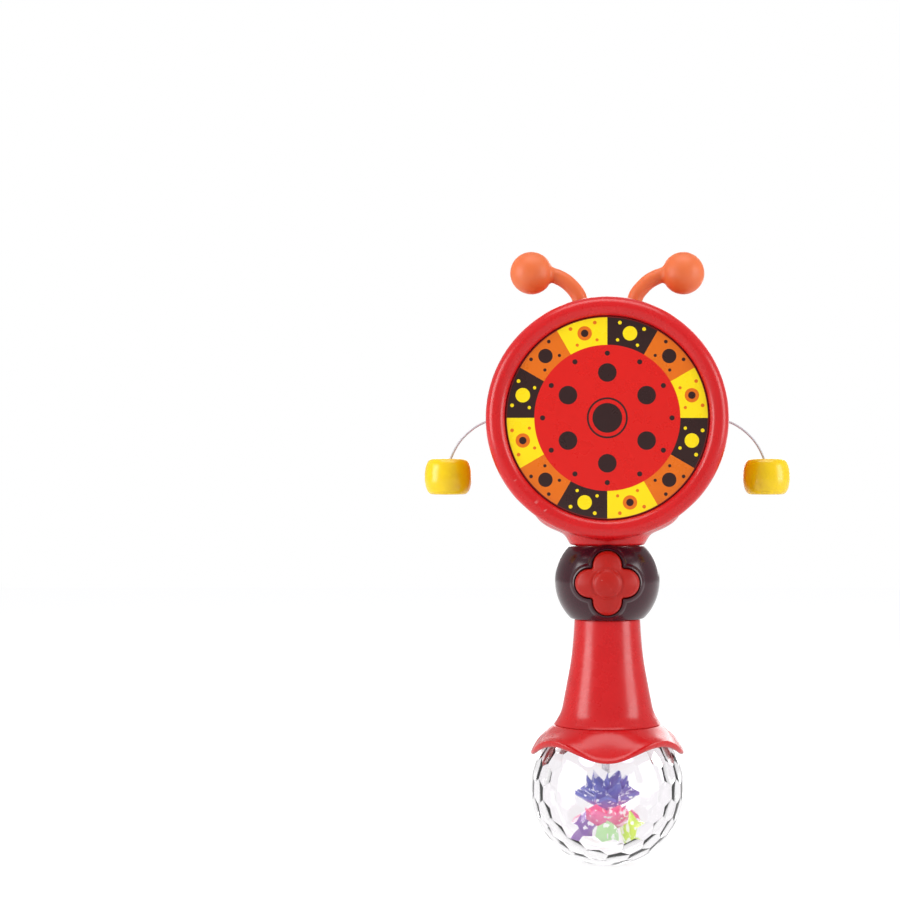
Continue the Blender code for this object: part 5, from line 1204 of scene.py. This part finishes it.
# Antennae
def make_antenna(hand, side):
    """A soft rubber stem with a ball end, pulled through the casing by its flange."""
    lean = math.radians(ANTENNA_LEAN)
    way = Vector((side * math.sin(lean), 0.0, math.cos(lean)))
    flange = ((0.0424, 0.0052), (0.0437, 0.0052), (0.0438, 0.0036), (0.0450, 0.0034), (0.0478, 0.0034))
    line, radii = [], []
    for radial, radius in flange:
        line.append(Vector((0.0, 0.0, DRUM_Z)) + way * radial)
        radii.append(radius)
    stalk = [(0.0122, 0.0527), (0.0140, 0.0561), (0.0182, 0.0603), (0.0235, 0.0630), (0.0280, 0.0640)]
    root = line[-1]
    bend = smooth_line([root, *[(side * x, 0.0, DRUM_Z + up) for x, up in stalk]], 10)
    line += bend[1:]
    radii += [0.0034] * (len(bend) - 1)
    stem = swept(f"stem_{hand}", line, radii, 40)
    ball = spun("ball", arc((0.0, 0.0), ANTENNA_BALL_RADIUS, -89, 89, 60), 96)
    put(ball, Matrix.Translation((side * ANTENNA_BALL_X, 0.0, DRUM_Z + ANTENNA_BALL_RISE)))
    antenna = combine(stem, "UNION", ball)
    antenna.name = f"feeler_{hand}"
    soften_joint(antenna, Vector((side * 0.0262, 0.0, DRUM_Z + 0.0638)))
    finish(antenna, "toy", ORANGE, f"antenna_{hand}", crease=60)


def soften_joint(antenna, place):
    """Melts the crease where the stem meets the ball."""
    change = antenna.modifiers.new("one skin", "REMESH")
    change.mode, change.voxel_size = "VOXEL", 0.00045
    settle(antenna)
    form = bmesh.new()
    form.from_mesh(antenna.data)
    near = [corner for corner in form.verts if (corner.co - place).length < 0.0055]
    axes = {"use_axis_x": True, "use_axis_y": True, "use_axis_z": True}
    for corners, passes in ((list(form.verts), 3), (near, 24)):
        for _ in range(passes):
            bmesh.ops.smooth_vert(form, verts=corners, factor=0.5, **axes)
    form.to_mesh(antenna.data)
    form.free()


# Spinner, lamps and what else shows through the clear ball
def crown_leaf(count, reach, foot, rise, shift):
    """One thin leaf of a star: it lifts from the hub to a ring of short points."""
    rings = []
    steps = 8 * count
    for level in range(11):
        share = level / 10
        ring = []
        for i in range(steps):
            angle = 2 * math.pi * (i / steps + shift / count)
            wave = abs(((i / 8) % 1.0) * 2 - 1)
            out = 0.0030 + (reach * (0.78 + 0.22 * wave) - 0.0030) * share
            up = foot + rise * (0.60 + 0.40 * wave) * share**2.2
            ring.append((out * math.cos(angle), out * math.sin(angle), up))
        rings.append(ring)
    upper = [[(x, y, z + 0.0010) for x, y, z in ring] for ring in reversed(rings)]
    return skin("leaf", [*rings, *upper], loop=True)


def make_star(name, node, material, count, leaves, hub):
    """A star of leaves, one above another, on a hub."""
    low, high = hub
    core = [(0.0011, low), (0.0030, low), (0.0034, high - 0.0006), (0.0029, high), (0.0011, high)]
    forms = [spun("hub", core, 40, loop=True)]
    for i, (reach, foot, rise) in enumerate(leaves):
        forms.append(crown_leaf(count, reach, foot, rise, 0.5 * (i % 2)))
    finish(joined(name, *forms), "spinner", material, node, crease=40)


def make_stars():
    """The two stars on the shaft. A leaf has its reach, its foot's height and its rise."""
    lower = [(0.0105, 0.0184, 0.0045), (0.0096, 0.0200, 0.0052), (0.0078, 0.0212, 0.0048)]
    upper = [(0.0128, 0.0260, 0.0040), (0.0120, 0.0276, 0.0056), (0.0102, 0.0290, 0.0070)]
    upper.append((0.0074, 0.0300, 0.0070))
    make_star("pointed_star_lower", "star_lower", STAR_PINK, 9, lower, (0.0183, 0.0255))
    make_star("pointed_star_upper", "star_upper", STAR_VIOLET, 12, upper, (0.0258, 0.0318))


def chip_line(kind):
    """A chip's outline: a dome, a five-petal flower or a six-pointed star."""
    size = CHIP_SIZE
    line = []
    for step in range(72):
        angle = 2 * math.pi * step / 72 + math.pi / 2
        if kind == "dome":
            line.append((0.9 * size * math.cos(angle), size * max(math.sin(angle), -0.3) - 0.3 * size))
            continue
        lobes, depth = (5, 0.16) if kind == "flower" else (6, 0.26)
        reach = size * (1 - depth + depth * math.cos(lobes * (angle - math.pi / 2)))
        line.append((reach * math.cos(angle), reach * math.sin(angle)))
    return line


def ring_place(radius, angle, height=0.0):
    """A point on a ring about the toy's long axis, at an angle in degrees."""
    turn = math.radians(angle)
    return radius * math.cos(turn), radius * math.sin(turn), height


def make_chip(colour, kind, angle, extra):
    """A flat coloured chip, lightly domed, that stands on the carrier and faces outwards.

    The extra angle turns it further, so that a chip near the front shows its face there.
    """
    inner, outer, slot = CHIP_FINISH[colour]
    place = ring_place(CHIP_RING, angle, CHIP_Z)
    # Each chip keeps the default glow of 0.3: painted light, not a lamp
    material = make_lit_plastic(f"{colour}_chip", slot, inner, outer, place, 0.007)
    rings = []
    half = ((0.02, 0.0016), (0.7, 0.0014), (0.95, 0.0009))
    section = [*[(share, -up) for share, up in half], (1.0, 0.0), *half[::-1]]
    for share, up in section:
        centre = -0.1 * CHIP_SIZE if kind == "dome" else 0.0
        rings.append([(x * share, centre + (y - centre) * share, up) for x, y in chip_line(kind)])
    chip = skin(f"show_chip_{colour}", rings)
    upright = Matrix.Rotation(math.pi / 2, 4, "Y") @ Matrix.Rotation(math.pi / 2, 4, "Z")
    outwards = Matrix.Rotation(math.radians(angle) + math.radians(extra), 4, "Z")
    put(chip, Matrix.Translation(place) @ (outwards @ upright))
    finish(chip, "spinner", material, f"chip_{colour}", crease=35)


def make_chips():
    make_chip("magenta", "star", 30, 0)
    make_chip("orange", "flower", 90, 0)
    make_chip("pink", "star", 150, 0)
    make_chip("purple", "flower", 210, 30)
    make_chip("green", "dome", 270, 0)
    make_chip("lime", "flower", 330, -30)


def make_lamp(name, angle):
    """A small domed lamp with a rim."""
    outline = [(AXIS, 0.0503), (0.0028, 0.0503), (0.0028, 0.0496), (0.0024, 0.0494), (0.0024, 0.0465)]
    outline += arc((0.0, 0.0463), 0.0024, 0, -88, 14)
    lamp = put(spun(f"show_{name}", outline, 48), Matrix.Translation(ring_place(LAMP_RING, angle)))
    finish(lamp, "toy", LAMP, name)


def make_lamp_tray():
    """The tray in the ball's mouth: a cup with a flange, and holes for the lamps and the motor's nose."""
    outline = [(0.0029, 0.0478), (0.0139, 0.0478), (0.0142, 0.0481), (0.0168, 0.0577), (0.0212, 0.0578)]
    outline += [(0.0212, 0.0590), (0.0158, 0.0590), (0.0132, 0.0490), (0.0029, 0.0490)]
    tray = spun("lamp_cup", outline, 128, loop=True)
    holes = []
    for angle in LAMP_ANGLES:
        hole = rod("lamp_hole", 0.0025, 0.0450, 0.0520, 32)
        holes.append(put(hole, Matrix.Translation(ring_place(LAMP_RING, angle))))
    combine(tray, "DIFFERENCE", *holes)
    finish(tray, "toy", WHITE, "lamp_tray", crease=30)


# Floor, backdrop and lamps
def make_studio():
    """A pale floor that keeps the toy's shadow and is plain white to the eye, in glass and in gloss."""
    made = bpy.data.materials.new("studio_floor")
    made.use_nodes = True
    tree = made.node_tree
    w = Wiring(tree)
    white = {"Color": (1.0, 1.0, 1.0, 1.0)}
    rays = w.add("ShaderNodeLightPath").outputs
    mirrored = w.math("MAXIMUM", rays["Is Glossy Ray"], rays["Is Transmission Ray"])
    surface = tree.nodes["Principled BSDF"]
    surface.inputs["Base Color"].default_value = (0.85, 0.85, 0.86, 1.0)
    surface.inputs["Roughness"].default_value = 0.9
    pale = w.add("ShaderNodeBsdfDiffuse", {"Color": (0.36, 0.36, 0.37, 1.0)})
    glow = w.add("ShaderNodeEmission", {**white, "Strength": 0.8})
    to_eye = w.add("ShaderNodeAddShader", {0: pale.outputs[0], 1: glow.outputs[0]})
    ways = {0: rays["Is Camera Ray"], 1: surface.outputs[0], 2: to_eye.outputs[0]}
    lit = w.add("ShaderNodeMixShader", ways)
    plain = w.add("ShaderNodeEmission", {**white, "Strength": 1.0})
    mixed = w.add("ShaderNodeMixShader", {0: mirrored, 1: lit.outputs[0], 2: plain.outputs[0]})
    w.feed(tree.nodes["Material Output"].inputs["Surface"], mixed.outputs[0])
    mesh = bpy.data.meshes.new("floor")
    mesh.from_pydata([(-2, -2, 0), (2, -2, 0), (2, 2, 0), (-2, 2, 0)], [], [(0, 1, 2, 3)])
    mesh.materials.append(made)
    floor = stand("floor", mesh)
    floor.location = (0.0, 0.0, -0.0002)

    world = bpy.data.worlds.new("studio")
    world.use_nodes = True
    w = Wiring(world.node_tree)
    rays = w.add("ShaderNodeLightPath").outputs
    seen = w.math("MAXIMUM", rays["Is Camera Ray"], rays["Is Transmission Ray"])
    plain = w.add("ShaderNodeBackground", {**white, "Strength": 1.0})
    dim = world.node_tree.nodes["Background"]
    dim.inputs["Color"].default_value = white["Color"]
    dim.inputs["Strength"].default_value = 0.5
    mixed = w.add("ShaderNodeMixShader", {0: seen, 1: dim.outputs[0], 2: plain.outputs[0]})
    w.feed(world.node_tree.nodes["World Output"].inputs["Surface"], mixed.outputs[0])
    bpy.context.scene.world = world


def add_lamp(name, place, size, power):
    """A soft rectangular lamp that faces the middle of the toy."""
    lamp = bpy.data.lights.new(name, "AREA")
    lamp.shape = "RECTANGLE"
    lamp.size, lamp.size_y = size
    lamp.energy = power
    made = bpy.data.objects.new(name, lamp)
    made.location = place
    way = Vector((0.0, 0.0, 0.14)) - Vector(place)
    made.rotation_euler = way.to_track_quat("-Z", "Y").to_euler()
    bpy.context.scene.collection.objects.link(made)


def add_lamps():
    add_lamp("left_panel", (-0.95, -0.42, 0.30), (0.5, 0.9), 8.0)
    add_lamp("right_panel", (0.98, -0.36, 0.28), (0.5, 0.9), 7.0)
    add_lamp("top_panel", (0.0, -0.15, 1.10), (0.9, 0.5), 4.5)
    add_lamp("rear_panel", (0.1, 1.0, 0.40), (0.8, 0.6), 4.0)


for hand, side in HANDS:
    make_cord(hand, side)
    make_bead(hand, side)
make_clear_ball()
make_lamp_tray()
for number, angle in enumerate(LAMP_ANGLES, 1):
    make_lamp(f"lamp_{number}", angle)
make_stars()
make_chips()
make_skirt()
make_handle()
make_door()
make_neck_ball()
make_button()
make_casing()
make_head("front", facing_front)
make_head("rear", facing_rear)
for hand, side in HANDS:
    make_antenna(hand, side)
dress_carried()
make_studio()
add_lamps()
bpy.context.scene.view_settings.view_transform = "Standard"
